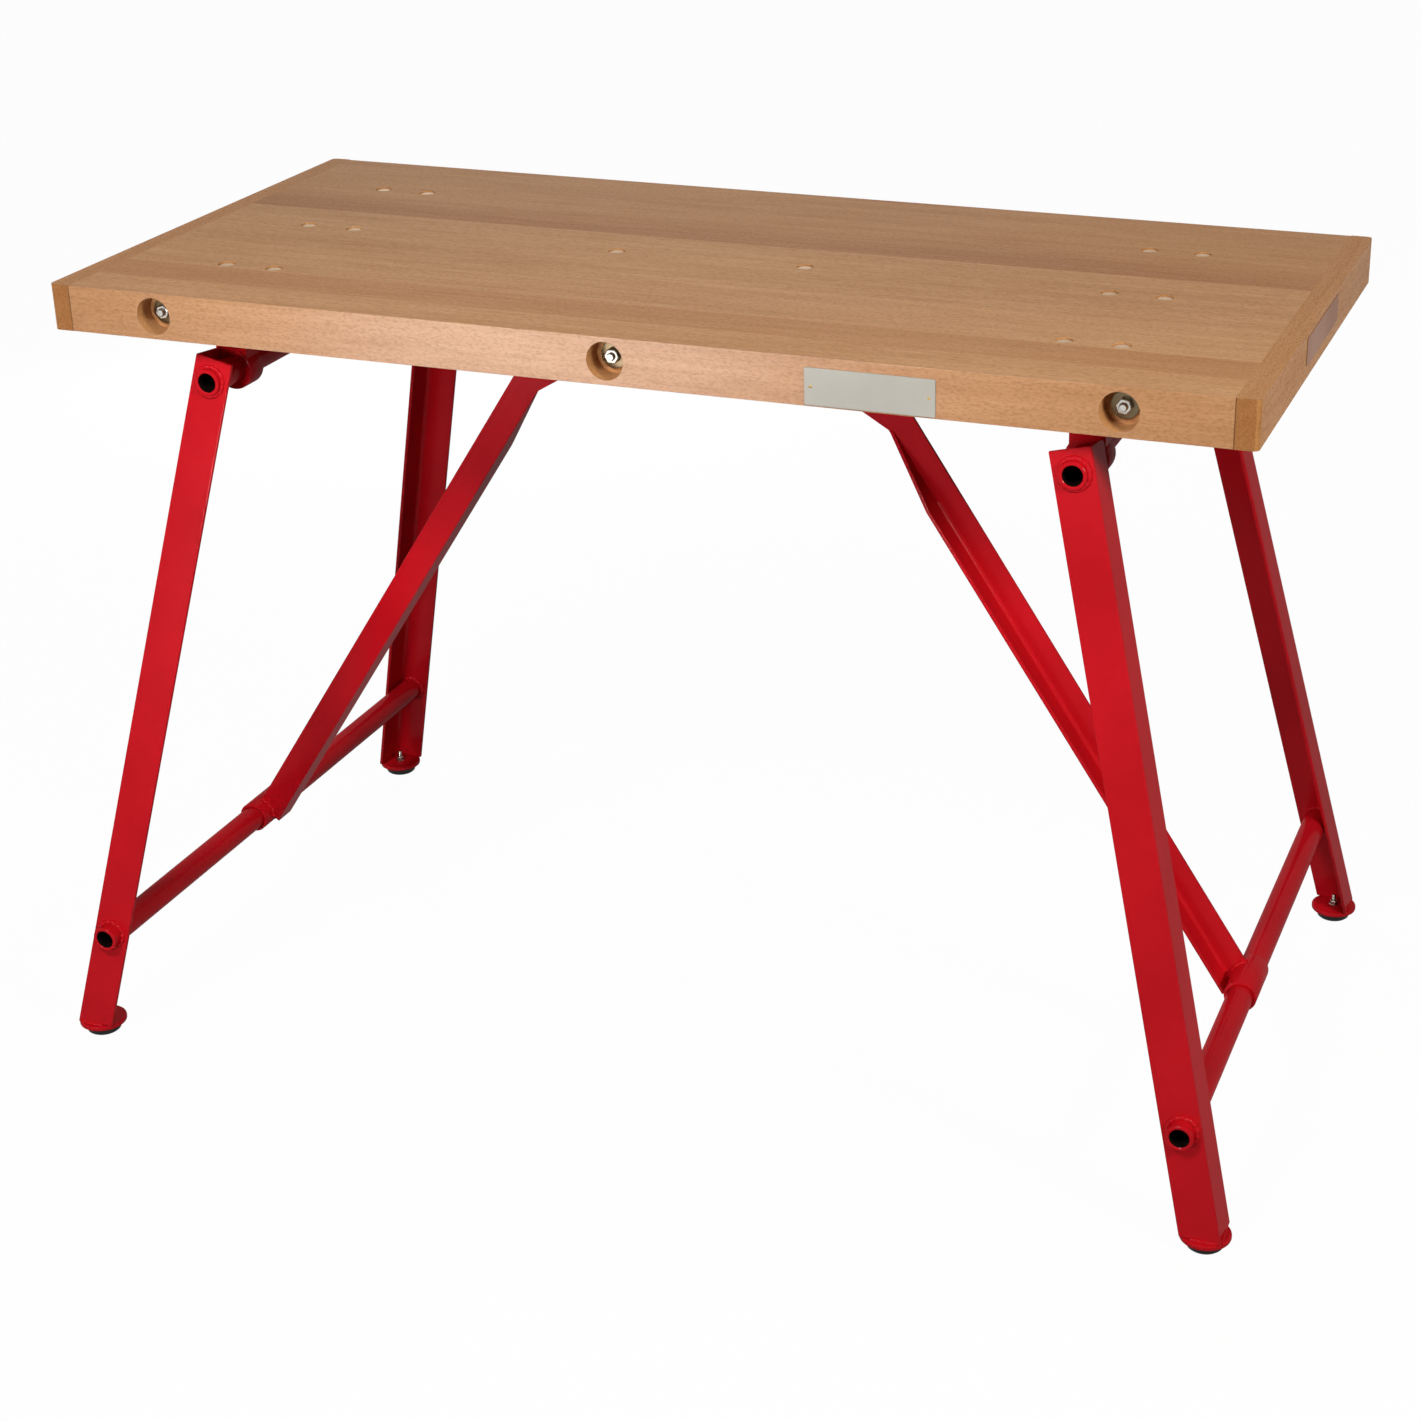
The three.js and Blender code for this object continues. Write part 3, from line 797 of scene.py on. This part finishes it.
def fillet(corner, across, upwards, radius, length):
    """A concave strip along Z that fills an inner corner of an angle."""
    steps = 6
    outline = [corner]
    for step in range(steps + 1):
        turn = math.pi / 2 * step / steps
        outline.append((
            corner[0] + across * radius * (1 - math.sin(turn)),
            corner[1] + upwards * radius * (1 - math.cos(turn)),
        ))
    return extruded(outline, length)


def cut_below(shape, height):
    geom = shape.verts[:] + shape.edges[:] + shape.faces[:]
    cut = bmesh.ops.bisect_plane(
        shape, geom=geom, plane_co=(0, 0, height), plane_no=(0, 0, 1), clear_inner=True
    )["geom_cut"]
    rim = [item for item in cut if isinstance(item, bmesh.types.BMEdge)]
    bmesh.ops.holes_fill(shape, edges=rim)


print("frames tilt", round(math.degrees(FRAME_TILT), 2), "degrees")

# %% Tubes and legs
def longer_edge(edge):
    return edge.calc_length() > 0.0039


def leg_axes(sign, hand):
    """On the heel of a leg: +Z up the leg."""
    splayed = Matrix.Rotation(hand * LEG_SPLAY, 4, "X")
    return frame_axes(sign) @ Matrix.Translation((0, hand * HEEL_AT_HINGE, 0)) @ splayed


def flange_axes(sign, hand, down):
    """On the outer face of a leg's front or back flange, where a tube passes: +Z out of the face."""
    at = Vector((0, hand * (HEEL_AT_HINGE + down * math.tan(LEG_SPLAY)), -down))
    turn = Matrix.Rotation(-hand * (math.pi / 2 - LEG_SPLAY), 4, "X")
    return frame_axes(sign) @ Matrix.Translation(at) @ turn


BEAD_SIZE = 0.0025
for side, sign in SIDES:
    body = f"{side}_legs"
    for node, down, half in (("pivot_tube", 0.0, PIVOT_HALF), ("crossbar", CROSSBAR_DOWN, CROSSBAR_HALF)):
        steel = placed(tube(half), frame_axes(sign) @ Matrix.Translation((0, 0, -down)) @ ALONG_Y)
        finish_piece(f"{side}_{node}_steel", steel, RED, body, [f"{side}_{node}"])
    for place, place_sign in PLACES:
        hand = sign * place_sign
        bm = eased_copy(f"{side}_{place}_leg", 0.0011, 2, longer_edge)
        root = (HEEL_OUT - LEG_WALL, -hand * LEG_WALL)
        length = (HINGE_Z - FOOT_TOP) * LEAN_ALLOWANCE + LEG_ABOVE
        strip = fillet(root, -1, -hand, 0.0045, length - 0.002)
        low_end = Matrix.Translation((0, 0, LEG_ABOVE - 0.001 - length))
        placed(strip, leg_axes(sign, hand) @ low_end)
        cut_below(strip, FOOT_TOP + 0.0003)
        add_shape(bm, strip)
        for down in (0.0, CROSSBAR_DOWN):
            for depth in (0.0002, -LEG_WALL - 0.0002):
                matrix = flange_axes(sign, hand, down) @ Matrix.Translation((0, 0, depth))
                add_shape(bm, weld_ring(TUBE_RADIUS + 0.0010, BEAD_SIZE), matrix)
        finish_piece(f"{side}_{place}_leg_steel", bm, RED, body, [f"{side}_{place}_leg"])
print("frames made")

# %% [markdown]
# ## Feet
# Under each leg is a round plate with a rubber pad. The leg is welded to the plate, and a bolt with
# a nut comes up through the plate in the corner of the angle.

# %% Feet
PLATE_RADIUS, PAD_RADIUS = 0.025, 0.0185


def foot_middle(sign, place_sign):
    hand = sign * place_sign
    down = (HINGE_Z - FOOT_TOP) / math.cos(FRAME_TILT)
    heel = frame_axes(sign) @ Vector((HEEL_OUT, hand * (HEEL_AT_HINGE + down * math.tan(LEG_SPLAY)), -down))
    return Vector((heel.x - sign * FOOT_INSET, heel.y - place_sign * FOOT_INSET, 0.0))


def rubber_pad():
    outline = [
        (0.0, 0.0), (PAD_RADIUS - 0.004, 0.0), (PAD_RADIUS - 0.0022, 0.0005), (PAD_RADIUS - 0.0007, 0.0018),
        (PAD_RADIUS, 0.0038), (PAD_RADIUS, PAD_HEIGHT - 0.0022), (PAD_RADIUS - 0.0009, PAD_HEIGHT - 0.0016),
        (PAD_RADIUS - 0.0009, PAD_HEIGHT), (0.0, PAD_HEIGHT),
    ]
    return turned(outline, 56)


def foot_plate():
    edge = 0.0012
    low, high = PAD_HEIGHT, FOOT_TOP
    outline = [
        (0.0, low), (PLATE_RADIUS - edge, low), (PLATE_RADIUS - 0.0003, low + 0.0004),
        (PLATE_RADIUS, low + edge), (PLATE_RADIUS, high - edge), (PLATE_RADIUS - 0.0003, high - 0.0004),
        (PLATE_RADIUS - edge, high), (0.0, high),
    ]
    return turned(outline, 64)


def foot_bolt():
    shank, end = 0.0025, FOOT_TOP + 0.012
    outline = [(0.0, end), (shank - 0.0005, end)]
    for step in range(6):
        at = end - 0.0008 - 0.0010 * step
        outline += [(shank, at), (shank - 0.0004, at - 0.0005)]
    outline += [(shank, FOOT_TOP), (0.0, FOOT_TOP)]
    bm = turned(outline, 24)
    add_shape(bm, ring(shank, 0.0055, 0.0010, 0.0003), Matrix.Translation((0, 0, FOOT_TOP)))
    add_shape(bm, hexagon(0.008, 0.004, 0.0005), Matrix.Translation((0, 0, FOOT_TOP + 0.0010)))
    return bm


for side, sign in SIDES:
    body = f"{side}_legs"
    for place, place_sign in PLACES:
        middle = foot_middle(sign, place_sign)
        name = f"{side}_{place}_foot"
        at = Matrix.Translation(middle)
        bm = bmesh.new()
        add_shape(bm, foot_plate(), at)
        heel = Vector((middle.x + sign * FOOT_INSET, middle.y + place_sign * FOOT_INSET, FOOT_TOP + 0.0004))
        for across in (Vector((-sign, 0, 0)), Vector((0, -place_sign, 0))):
            add_shape(bm, weld_run(heel + across * 0.002, heel + across * 0.030, 0.0020))
        finish_piece(f"{name}_plate_steel", bm, RED, body, [f"{name}_plate"])
        pad = placed(rubber_pad(), at)
        finish_piece(f"{name}_pad_rubber", pad, RUBBER, body, [f"{name}_pad"])
        finish_piece(f"{name}_bolt_steel", placed(foot_bolt(), at), ZINC, body)
print("feet made")

# %% [markdown]
# ## Hinge brackets
# A bracket is a flat plate under the top, a neck, and a boss that the pivot tube turns in. The boss
# is turned with its bore open; the neck is a plate whose lower edge follows the boss and whose
# upper corners flare out like a weld.

# %% Hinge brackets
BOSS_RADIUS, BOSS_LENGTH = 0.021, 0.025
OUTER_FACE = 0.217
BRACKET_HALF, BRACKET_MARGIN = 0.044, 0.024
UPRIGHT = Matrix(((1, 0, 0, 0), (0, 0, 1, 0), (0, 1, 0, 0), (0, 0, 0, 1)))


def sleeve(radius, length, mouth, edge):
    """A ring along Z that turns on a tube, eased by mouth at its bore and by edge outside."""
    half = length / 2
    outline = [
        (TURNING_BORE, -half + mouth), (TURNING_BORE + mouth, -half), (radius - edge, -half),
        (radius - edge * 0.3, -half + edge * 0.3), (radius, -half + edge),
    ]
    outline += [(across, -height) for across, height in reversed(outline)]
    return turned(outline, 64, closed=True)


def neck_outline(half, height):
    """From the boss up to the plate, seen along Y; the boss is at (0, 0)."""
    reach = BOSS_RADIUS - 0.002
    flare = 0.005
    first = math.acos(half / reach)
    outline = []
    for step in range(9):
        turn = first + (math.pi - 2 * first) * step / 8
        outline.append((reach * math.cos(turn), reach * math.sin(turn)))
    for step in range(5):
        turn = math.pi / 2 * step / 4
        outline.append((-half - flare * (1 - math.cos(turn)), height - flare * (1 - math.sin(turn))))
    outline += [(-x, y) for x, y in reversed(outline[-5:])]
    return outline


for side, sign in SIDES:
    pivot = sign * HINGE_X
    for row, y in HINGE_ROWS:
        outward = (y > 0) - (y < 0)
        boss_middle = outward * (OUTER_FACE - BOSS_LENGTH / 2)
        low_y = min(boss_middle - BOSS_LENGTH / 2, y - BRACKET_MARGIN)
        high_y = max(boss_middle + BOSS_LENGTH / 2, y + BRACKET_MARGIN)
        middle = HINGE_BOLTS[side]
        bm = block(
            (middle - BRACKET_HALF, low_y, UNDERSIDE - BRACKET_THICKNESS),
            (middle + BRACKET_HALF, high_y, UNDERSIDE), 0.0012,
        )
        boss = sleeve(BOSS_RADIUS, BOSS_LENGTH, 0.0006, 0.0014)
        add_shape(bm, boss, Matrix.Translation((pivot, boss_middle, HINGE_Z)) @ ALONG_Y)
        height = UNDERSIDE - BRACKET_THICKNESS - HINGE_Z + 0.0005
        thickness = BOSS_LENGTH - 0.0016
        neck = plate(neck_outline(0.017 if outward else 0.008, height), thickness, 0.0008)
        standing = Matrix.Translation((pivot, boss_middle - thickness / 2, HINGE_Z)) @ UPRIGHT
        add_shape(bm, neck, standing)
        node = f"{side}_hinge_{row}"
        finish_piece(f"{node}_steel", bm, RED, "top", [node])
print("hinge brackets made")

# %% [markdown]
# ## Braces
# A brace is angle iron with its upper end cranked and notched to hook over a pin. The notched flange
# is one flat outline: coped to the collar, round at the bend and the tip, and built up a little
# with weld at its lower end. The second flange stops before the bend and runs past the collar with
# a small gap. Both braces are the same piece, one turned half round.

# %% Where a brace runs
BRACE_PLANES = {"left": -0.034, "right": -0.040}
PIN_Z = UNDERSIDE - 0.032
BRACE_FLANGE, BRACE_WALL = 0.030, 0.004
BRACE_START, BRACE_TONGUE, BELOW_AXIS = 0.013, 0.003, 0.0085
END_ALONG, END_ACROSS = 0.003, -0.015
WELD_FILL = 0.007
WELD_BACK, WELD_SWEEP = 1.25, 1.69
CRANK, CRANK_TIP, FLANGE_TAPER = 0.112, 0.018, 0.090
BEND = math.radians(26.3)
SLOT_ANGLE = math.radians(147)
SLOT_HALF = 0.0052
COLLAR_RADIUS, COLLAR_LENGTH = 0.01685, 0.063
HALF_FLANGE = BRACE_FLANGE / 2


def direction(angle):
    return Vector((math.cos(angle), math.sin(angle)))


HOOK = Vector((CROSSBAR_X - PIN_X, PIN_Z - CROSSBAR_Z))
CRANK_ACROSS = CRANK * math.sin(BEND) + BELOW_AXIS
STRAIGHT = math.sqrt(HOOK.length ** 2 - CRANK_ACROSS ** 2) - CRANK * math.cos(BEND)
BRACE_ANGLE = math.atan2(HOOK.y, HOOK.x) + math.asin(CRANK_ACROSS / HOOK.length)
CRANK_ANGLE = BRACE_ANGLE - BEND
HEEL = -HALF_FLANGE - BELOW_AXIS
print("brace straight for", round(STRAIGHT, 4), "at", round(math.degrees(BRACE_ANGLE), 2), "degrees")

# %% The notched flange
def arc(middle, radius, start, end, steps):
    return [middle + radius * direction(start + (end - start) * step / steps) for step in range(steps + 1)]


def notched_outline():
    quarter = math.pi / 2
    along, across = direction(CRANK_ANGLE), direction(CRANK_ANGLE + quarter)
    upwards, sideways = direction(BRACE_ANGLE), direction(BRACE_ANGLE + quarter)
    bend = STRAIGHT * upwards - BELOW_AXIS * sideways
    rounding = 0.003
    corner = (BRACE_START - WELD_FILL + rounding) * upwards + (HEEL + rounding) * sideways
    outline = arc(corner, rounding, BRACE_ANGLE - quarter, BRACE_ANGLE - 2 * quarter, 5)
    cope_radius = COLLAR_RADIUS - 0.0012
    first = math.atan2(END_ACROSS, END_ALONG)
    last = math.asin((HEEL + BRACE_FLANGE) / cope_radius)
    outline += arc(Vector((0, 0)), cope_radius, BRACE_ANGLE + first, BRACE_ANGLE + last, 10)
    outline += arc(bend, HALF_FLANGE, BRACE_ANGLE + quarter, CRANK_ANGLE + quarter, 6)
    slot, beside = direction(SLOT_ANGLE), direction(SLOT_ANGLE - quarter)
    walls = []
    for sign in (-1, 1):
        foot = HOOK + sign * SLOT_HALF * beside
        rise = (HALF_FLANGE - (foot - bend).dot(across)) / slot.dot(across)
        walls.append(foot + rise * slot)
    outline.append(walls[0])
    outline += arc(HOOK, SLOT_HALF, SLOT_ANGLE + quarter, SLOT_ANGLE + 3 * quarter, 10)
    outline.append(walls[1])
    tip = bend + (CRANK + CRANK_TIP - HALF_FLANGE) * along
    outline += arc(tip, HALF_FLANGE, CRANK_ANGLE + quarter, CRANK_ANGLE - quarter, 14)
    halfway = (BRACE_ANGLE + CRANK_ANGLE) / 2 - quarter
    outline.append(bend + HALF_FLANGE / math.cos(BEND / 2) * direction(halfway))
    return outline


print("points on the notched flange:", len(notched_outline()))

# %% The whole brace
def brace():
    """A brace with its collar and welds, with the crossbar's axis at its origin."""
    bm = bmesh.new()
    wall = BRACE_WALL / 2
    sideways = direction(BRACE_ANGLE + math.pi / 2)

    def on_inner_heel(point):
        return point.z > BRACE_WALL - 1e-6 and abs(point.xy.dot(sideways) - HEEL) < 1e-5

    notched = plate(notched_outline(), BRACE_WALL, 0.0009, on_inner_heel)
    add_shape(bm, notched, Matrix.Translation((0, -wall, 0)) @ UPRIGHT)
    start = BRACE_START + 0.002
    second = [
        (BRACE_TONGUE, wall), (STRAIGHT - BRACE_WALL, wall),
        (STRAIGHT - FLANGE_TAPER, BRACE_FLANGE - wall), (BRACE_TONGUE, BRACE_FLANGE - wall),
    ]
    slope = Matrix.Rotation(-BRACE_ANGLE, 4, "Y")
    lower = plate(second, BRACE_WALL, 0.0009, lambda point: point.y < wall + 1e-6)
    add_shape(bm, lower, slope @ Matrix.Translation((0, 0, HEEL)))
    strip = fillet((-HEEL - BRACE_WALL, wall), -1, 1, 0.004, STRAIGHT - FLANGE_TAPER - start)
    along_x = Matrix.Rotation(math.pi / 2, 4, "Y")
    add_shape(bm, strip, slope @ Matrix.Translation((start, 0, 0)) @ along_x)
    collar = sleeve(COLLAR_RADIUS, COLLAR_LENGTH, 0.0005, 0.0010)
    add_shape(bm, collar, Matrix.Translation((0, HALF_FLANGE - wall, 0)) @ ALONG_Y)
    around = UPRIGHT @ Matrix.Rotation(BRACE_ANGLE - WELD_BACK, 4, "Z")
    for y in (-wall - 0.0002, wall + 0.0002):
        bead = weld_ring(COLLAR_RADIUS + 0.0004, 0.0021, WELD_SWEEP)
        add_shape(bm, bead, Matrix.Translation((0, y, 0)) @ around)
    return bm


to_left_collar = Matrix.Translation((-CROSSBAR_X, BRACE_PLANES["left"], CROSSBAR_Z))
half_turn = Matrix.Translation((0, sum(BRACE_PLANES.values()), 0)) @ Matrix.Rotation(math.pi, 4, "Z")
for side, matrix in (("left", to_left_collar), ("right", half_turn @ to_left_collar)):
    bm = placed(brace(), matrix)
    finish_piece(f"{side}_brace_steel", bm, RED, f"{side}_brace", [f"{side}_brace"])
print("braces made")

# %% [markdown]
# ## Keepers
# Under the middle of the top, each brace hooks over a pin that a small bracket carries.

# %% Keepers and pins
KEEPER_HALF, KEEPER_BACK = 0.032, 0.022
LUG_HALF, LUG_THICKNESS = 0.015, 0.006
PIN_RADIUS, PIN_HEAD_RADIUS, PIN_HEAD = 0.0047, 0.0085, 0.004


def lug_outline():
    outline = arc(Vector((0, 0)), LUG_HALF, math.pi, math.tau, 16)
    rise = UNDERSIDE - KEEPER_THICKNESS - PIN_Z + 0.0005
    return outline + [Vector((LUG_HALF, rise)), Vector((-LUG_HALF, rise))]


def pin_shape(front, head_back, tail_front, back):
    """A pin along Y, with heads at both ends."""
    edge = 0.0008
    outline = [
        (0.0, front), (PIN_HEAD_RADIUS - edge, front), (PIN_HEAD_RADIUS, front + edge),
        (PIN_HEAD_RADIUS, head_back), (PIN_RADIUS, head_back), (PIN_RADIUS, tail_front),
        (PIN_HEAD_RADIUS, tail_front), (PIN_HEAD_RADIUS, back - edge),
        (PIN_HEAD_RADIUS - edge, back), (0.0, back),
    ]
    return turned(outline, 40)


for side, sign in SIDES:
    x = sign * PIN_X
    plane = BRACE_PLANES[side]
    front = plane + BRACE_WALL / 2 + 0.0005
    bm = block(
        (KEEPER_BOLTS[side] - KEEPER_HALF, front, UNDERSIDE - KEEPER_THICKNESS),
        (KEEPER_BOLTS[side] + KEEPER_HALF, KEEPER_BACK, UNDERSIDE), 0.0010,
    )
    lug = plate(lug_outline(), LUG_THICKNESS, 0.0008)
    add_shape(bm, lug, Matrix.Translation((x, front, PIN_Z)) @ UPRIGHT)
    finish_piece(f"{side}_keeper_steel", bm, RED, "top", [f"{side}_keeper"])
    head_back = plane - BRACE_WALL / 2 - 0.003
    tail_front = front + LUG_THICKNESS + 0.0003
    pin = pin_shape(head_back - PIN_HEAD, head_back, tail_front, tail_front + PIN_HEAD)
    placed(pin, Matrix.Translation((x, 0, PIN_Z)) @ ALONG_Y)
    finish_piece(f"{side}_keeper_pin_steel", pin, ZINC, "top", [f"{side}_keeper_pin"])
print("keepers made")

# %% [markdown]
# ## Plates
# A satin metal plate is pinned to the front edge, and a thin one is stuck to the right end. Both
# are unpainted.

# %% Plates and pins
NAME_LEFT, NAME_RIGHT = 0.190 + TOP_MIDDLE, 0.313 + TOP_MIDDLE
NAME_LOW, NAME_HEIGHT, NAME_THICKNESS = UNDERSIDE + 0.0015, 0.035, 0.0012
PIN_INSET = 0.006
END_FRONT, END_BACK = -0.072, 0.085
END_LOW, END_HEIGHT, END_THICKNESS = UNDERSIDE + 0.013, 0.027, 0.0006


def rounded_rectangle(width, height, radius):
    outline = []
    for x, y, start in ((width, height, 0), (0, height, 90), (0, 0, 180), (width, 0, 270)):
        middle = Vector((abs(x - radius), abs(y - radius)))
        outline += arc(middle, radius, math.radians(start), math.radians(start + 90), 5)
    return outline


def name_pin():
    outline = [(0.0, 0.0009), (0.0007, 0.0008), (0.0012, 0.0005), (0.0015, 0.0), (0.0, 0.0)]
    return turned(outline, 20)


sheet = plate(rounded_rectangle(NAME_RIGHT - NAME_LEFT, NAME_HEIGHT, 0.0015), NAME_THICKNESS, 0.0003)
placed(sheet, Matrix.Translation((NAME_LEFT, -HALF_WIDTH - NAME_THICKNESS, NAME_LOW)) @ UPRIGHT)
finish_piece("name_plate_metal", sheet, SATIN, "top", ["name_plate"])
bm = bmesh.new()
facing_front = Matrix.Rotation(math.pi / 2, 4, "X")
for x in (NAME_LEFT + PIN_INSET, NAME_RIGHT - PIN_INSET):
    at = Matrix.Translation((x, -HALF_WIDTH - NAME_THICKNESS, NAME_LOW + NAME_HEIGHT / 2))
    add_shape(bm, name_pin(), at @ facing_front)
finish_piece("name_plate_pins", bm, BRASS, "top")
sheet = plate(rounded_rectangle(END_BACK - END_FRONT, END_HEIGHT, 0.002), END_THICKNESS, 0.00015)
facing_right = Matrix.Rotation(math.pi / 2, 4, "Z") @ Matrix.Rotation(math.pi / 2, 4, "X")
placed(sheet, Matrix.Translation((HALF_LENGTH + TOP_MIDDLE, END_FRONT, END_LOW)) @ facing_right)
finish_piece("end_plate_metal", sheet, LABEL, "top", ["end_plate"])
print("plates made")

# %% [markdown]
# ## Camera, light and floor
# The camera stands where the photographer stood. A key lamp hangs in front and to the left, and a
# slightly warm one lights the right side. A low lamp puts a sheen on the front edge, and a narrow
# one in front reaches the braces under the top. Two weak lamps above and behind even out the top,
# and a rear lamp lights the back for other views. The floor and world are white where the camera or
# a reflection sees them.

# %% Camera
IMAGE_SIZE = 1421.0
FOCAL_PIXELS = 2683.0
CENTRE_X_PIXELS = 820.0
AZIMUTH, ELEVATION, ROLL = math.radians(20.26), math.radians(24.53), math.radians(-0.73)
CAMERA_PLACE = (1.00018, -2.43525, 1.52016)


def make_camera():
    data = bpy.data.cameras.new("camera")
    data.sensor_width = 36.0
    data.lens = FOCAL_PIXELS * data.sensor_width / IMAGE_SIZE
    data.shift_x = (IMAGE_SIZE / 2 - CENTRE_X_PIXELS) / IMAGE_SIZE
    camera = bpy.data.objects.new("camera", data)
    bpy.context.scene.collection.objects.link(camera)
    level = math.cos(ELEVATION)
    back = Vector((math.sin(AZIMUTH) * level, -math.cos(AZIMUTH) * level, math.sin(ELEVATION)))
    flat_right = Vector((math.cos(AZIMUTH), math.sin(AZIMUTH), 0.0))
    flat_up = back.cross(flat_right)
    right = math.cos(ROLL) * flat_right + math.sin(ROLL) * flat_up
    up = math.cos(ROLL) * flat_up - math.sin(ROLL) * flat_right
    turn = Matrix((right, up, back)).transposed().to_4x4()
    camera.matrix_world = Matrix.Translation(CAMERA_PLACE) @ turn
    bpy.context.scene.camera = camera


make_camera()
print("lens:", round(bpy.context.scene.camera.data.lens, 2), "mm")

# %% Lamps
WHITE = (1.0, 1.0, 1.0)
WARM = (1.0, 0.95, 0.82)


def area_lamp(name, place, aim, size, power, spread=180.0, colour=WHITE, mirrored=True):
    data = bpy.data.lights.new(name, "AREA")
    data.shape = "RECTANGLE"
    data.size, data.size_y = size
    data.energy = power
    data.spread = math.radians(spread)
    data.color = colour
    lamp = bpy.data.objects.new(name, data)
    bpy.context.scene.collection.objects.link(lamp)
    towards = Vector(aim) - Vector(place)
    turn = towards.to_track_quat("-Z", "Y").to_matrix().to_4x4()
    lamp.matrix_world = Matrix.Translation(place) @ turn
    lamp.visible_camera = False
    lamp.visible_glossy = mirrored


area_lamp("key_lamp", (-0.45, -2.1, 2.55), (0.0, 0.0, 0.65), (0.6, 0.5), 42.0)
area_lamp("side_lamp", (2.4, -1.1, 1.75), (0.2, 0.0, 0.5), (0.5, 0.5), 39.0, colour=WARM)
area_lamp("low_lamp", (-0.98, -2.3, 0.22), (-0.05, -0.28, 0.79), (0.85, 0.4), 11.0)
area_lamp("front_lamp", (-0.1, -2.7, 0.95), (-0.1, -0.1, 0.72), (0.5, 0.5), 1.9, 50.0)
area_lamp("top_lamp", (0.0, 0.1, 2.9), (0.0, 0.1, 0.0), (1.0, 0.6), 4.5)
area_lamp("back_lamp", (-1.0, 2.43, 1.53), (0.0, 0.0, 0.82), (1.4, 0.6), 1.6)
area_lamp("rear_lamp", (-1.5, 2.3, 0.6), (0.0, 0.2, 0.5), (1.2, 0.8), 26.0, mirrored=False)
print("lamps:", len(bpy.data.lights))

# %% Floor and world
def seen_directly(tree):
    """1 where the camera, a mirror-like reflection or glass looks at the surface."""
    rays = new_node(tree, "LightPath").outputs
    total = calc(tree, "ADD", rays["Is Camera Ray"], rays["Is Glossy Ray"])
    return calc(tree, "MINIMUM", calc(tree, "ADD", total, rays["Is Transmission Ray"]), 1.0)


def make_floor():
    bm = bmesh.new()
    bmesh.ops.create_grid(bm, x_segments=1, y_segments=1, size=9.0)
    mesh = bpy.data.meshes.new("floor")
    bm.to_mesh(mesh)
    bm.free()
    floor = bpy.data.objects.new("floor", mesh)
    bpy.context.scene.collection.objects.link(floor)
    paper = bpy.data.materials.new("white_paper")
    paper.use_nodes = True
    tree = paper.node_tree
    shader = tree.nodes["Principled BSDF"]
    direct = seen_directly(tree)
    tint = blend(tree, direct, (0.2, 0.2, 0.2, 1), (0.9, 0.9, 0.9, 1))
    feed(tree, shader, {"Base Color": tint, "Roughness": 0.9, "Specular IOR Level": 0.0})
    glow = new_node(tree, "Emission", strength=1.0).outputs["Emission"]
    mixer = new_node(tree, "MixShader")
    feed(tree, mixer, {0: calc(tree, "MULTIPLY", direct, 0.975), 1: shader.outputs["BSDF"], 2: glow})
    feed(tree, tree.nodes["Material Output"], {"Surface": mixer.outputs["Shader"]})
    mesh.materials.append(paper)


def make_world():
    world = bpy.data.worlds.new("studio")
    bpy.context.scene.world = world
    world.use_nodes = True
    tree = world.node_tree
    strength = ramp(tree, seen_directly(tree), 0.0, 1.0, 0.05, 1.0)
    feed(tree, tree.nodes["Background"], {"Color": (1, 1, 1, 1), "Strength": strength})


make_floor()
make_world()
bpy.context.scene.view_settings.view_transform = "Standard"
print("floor and world ready")
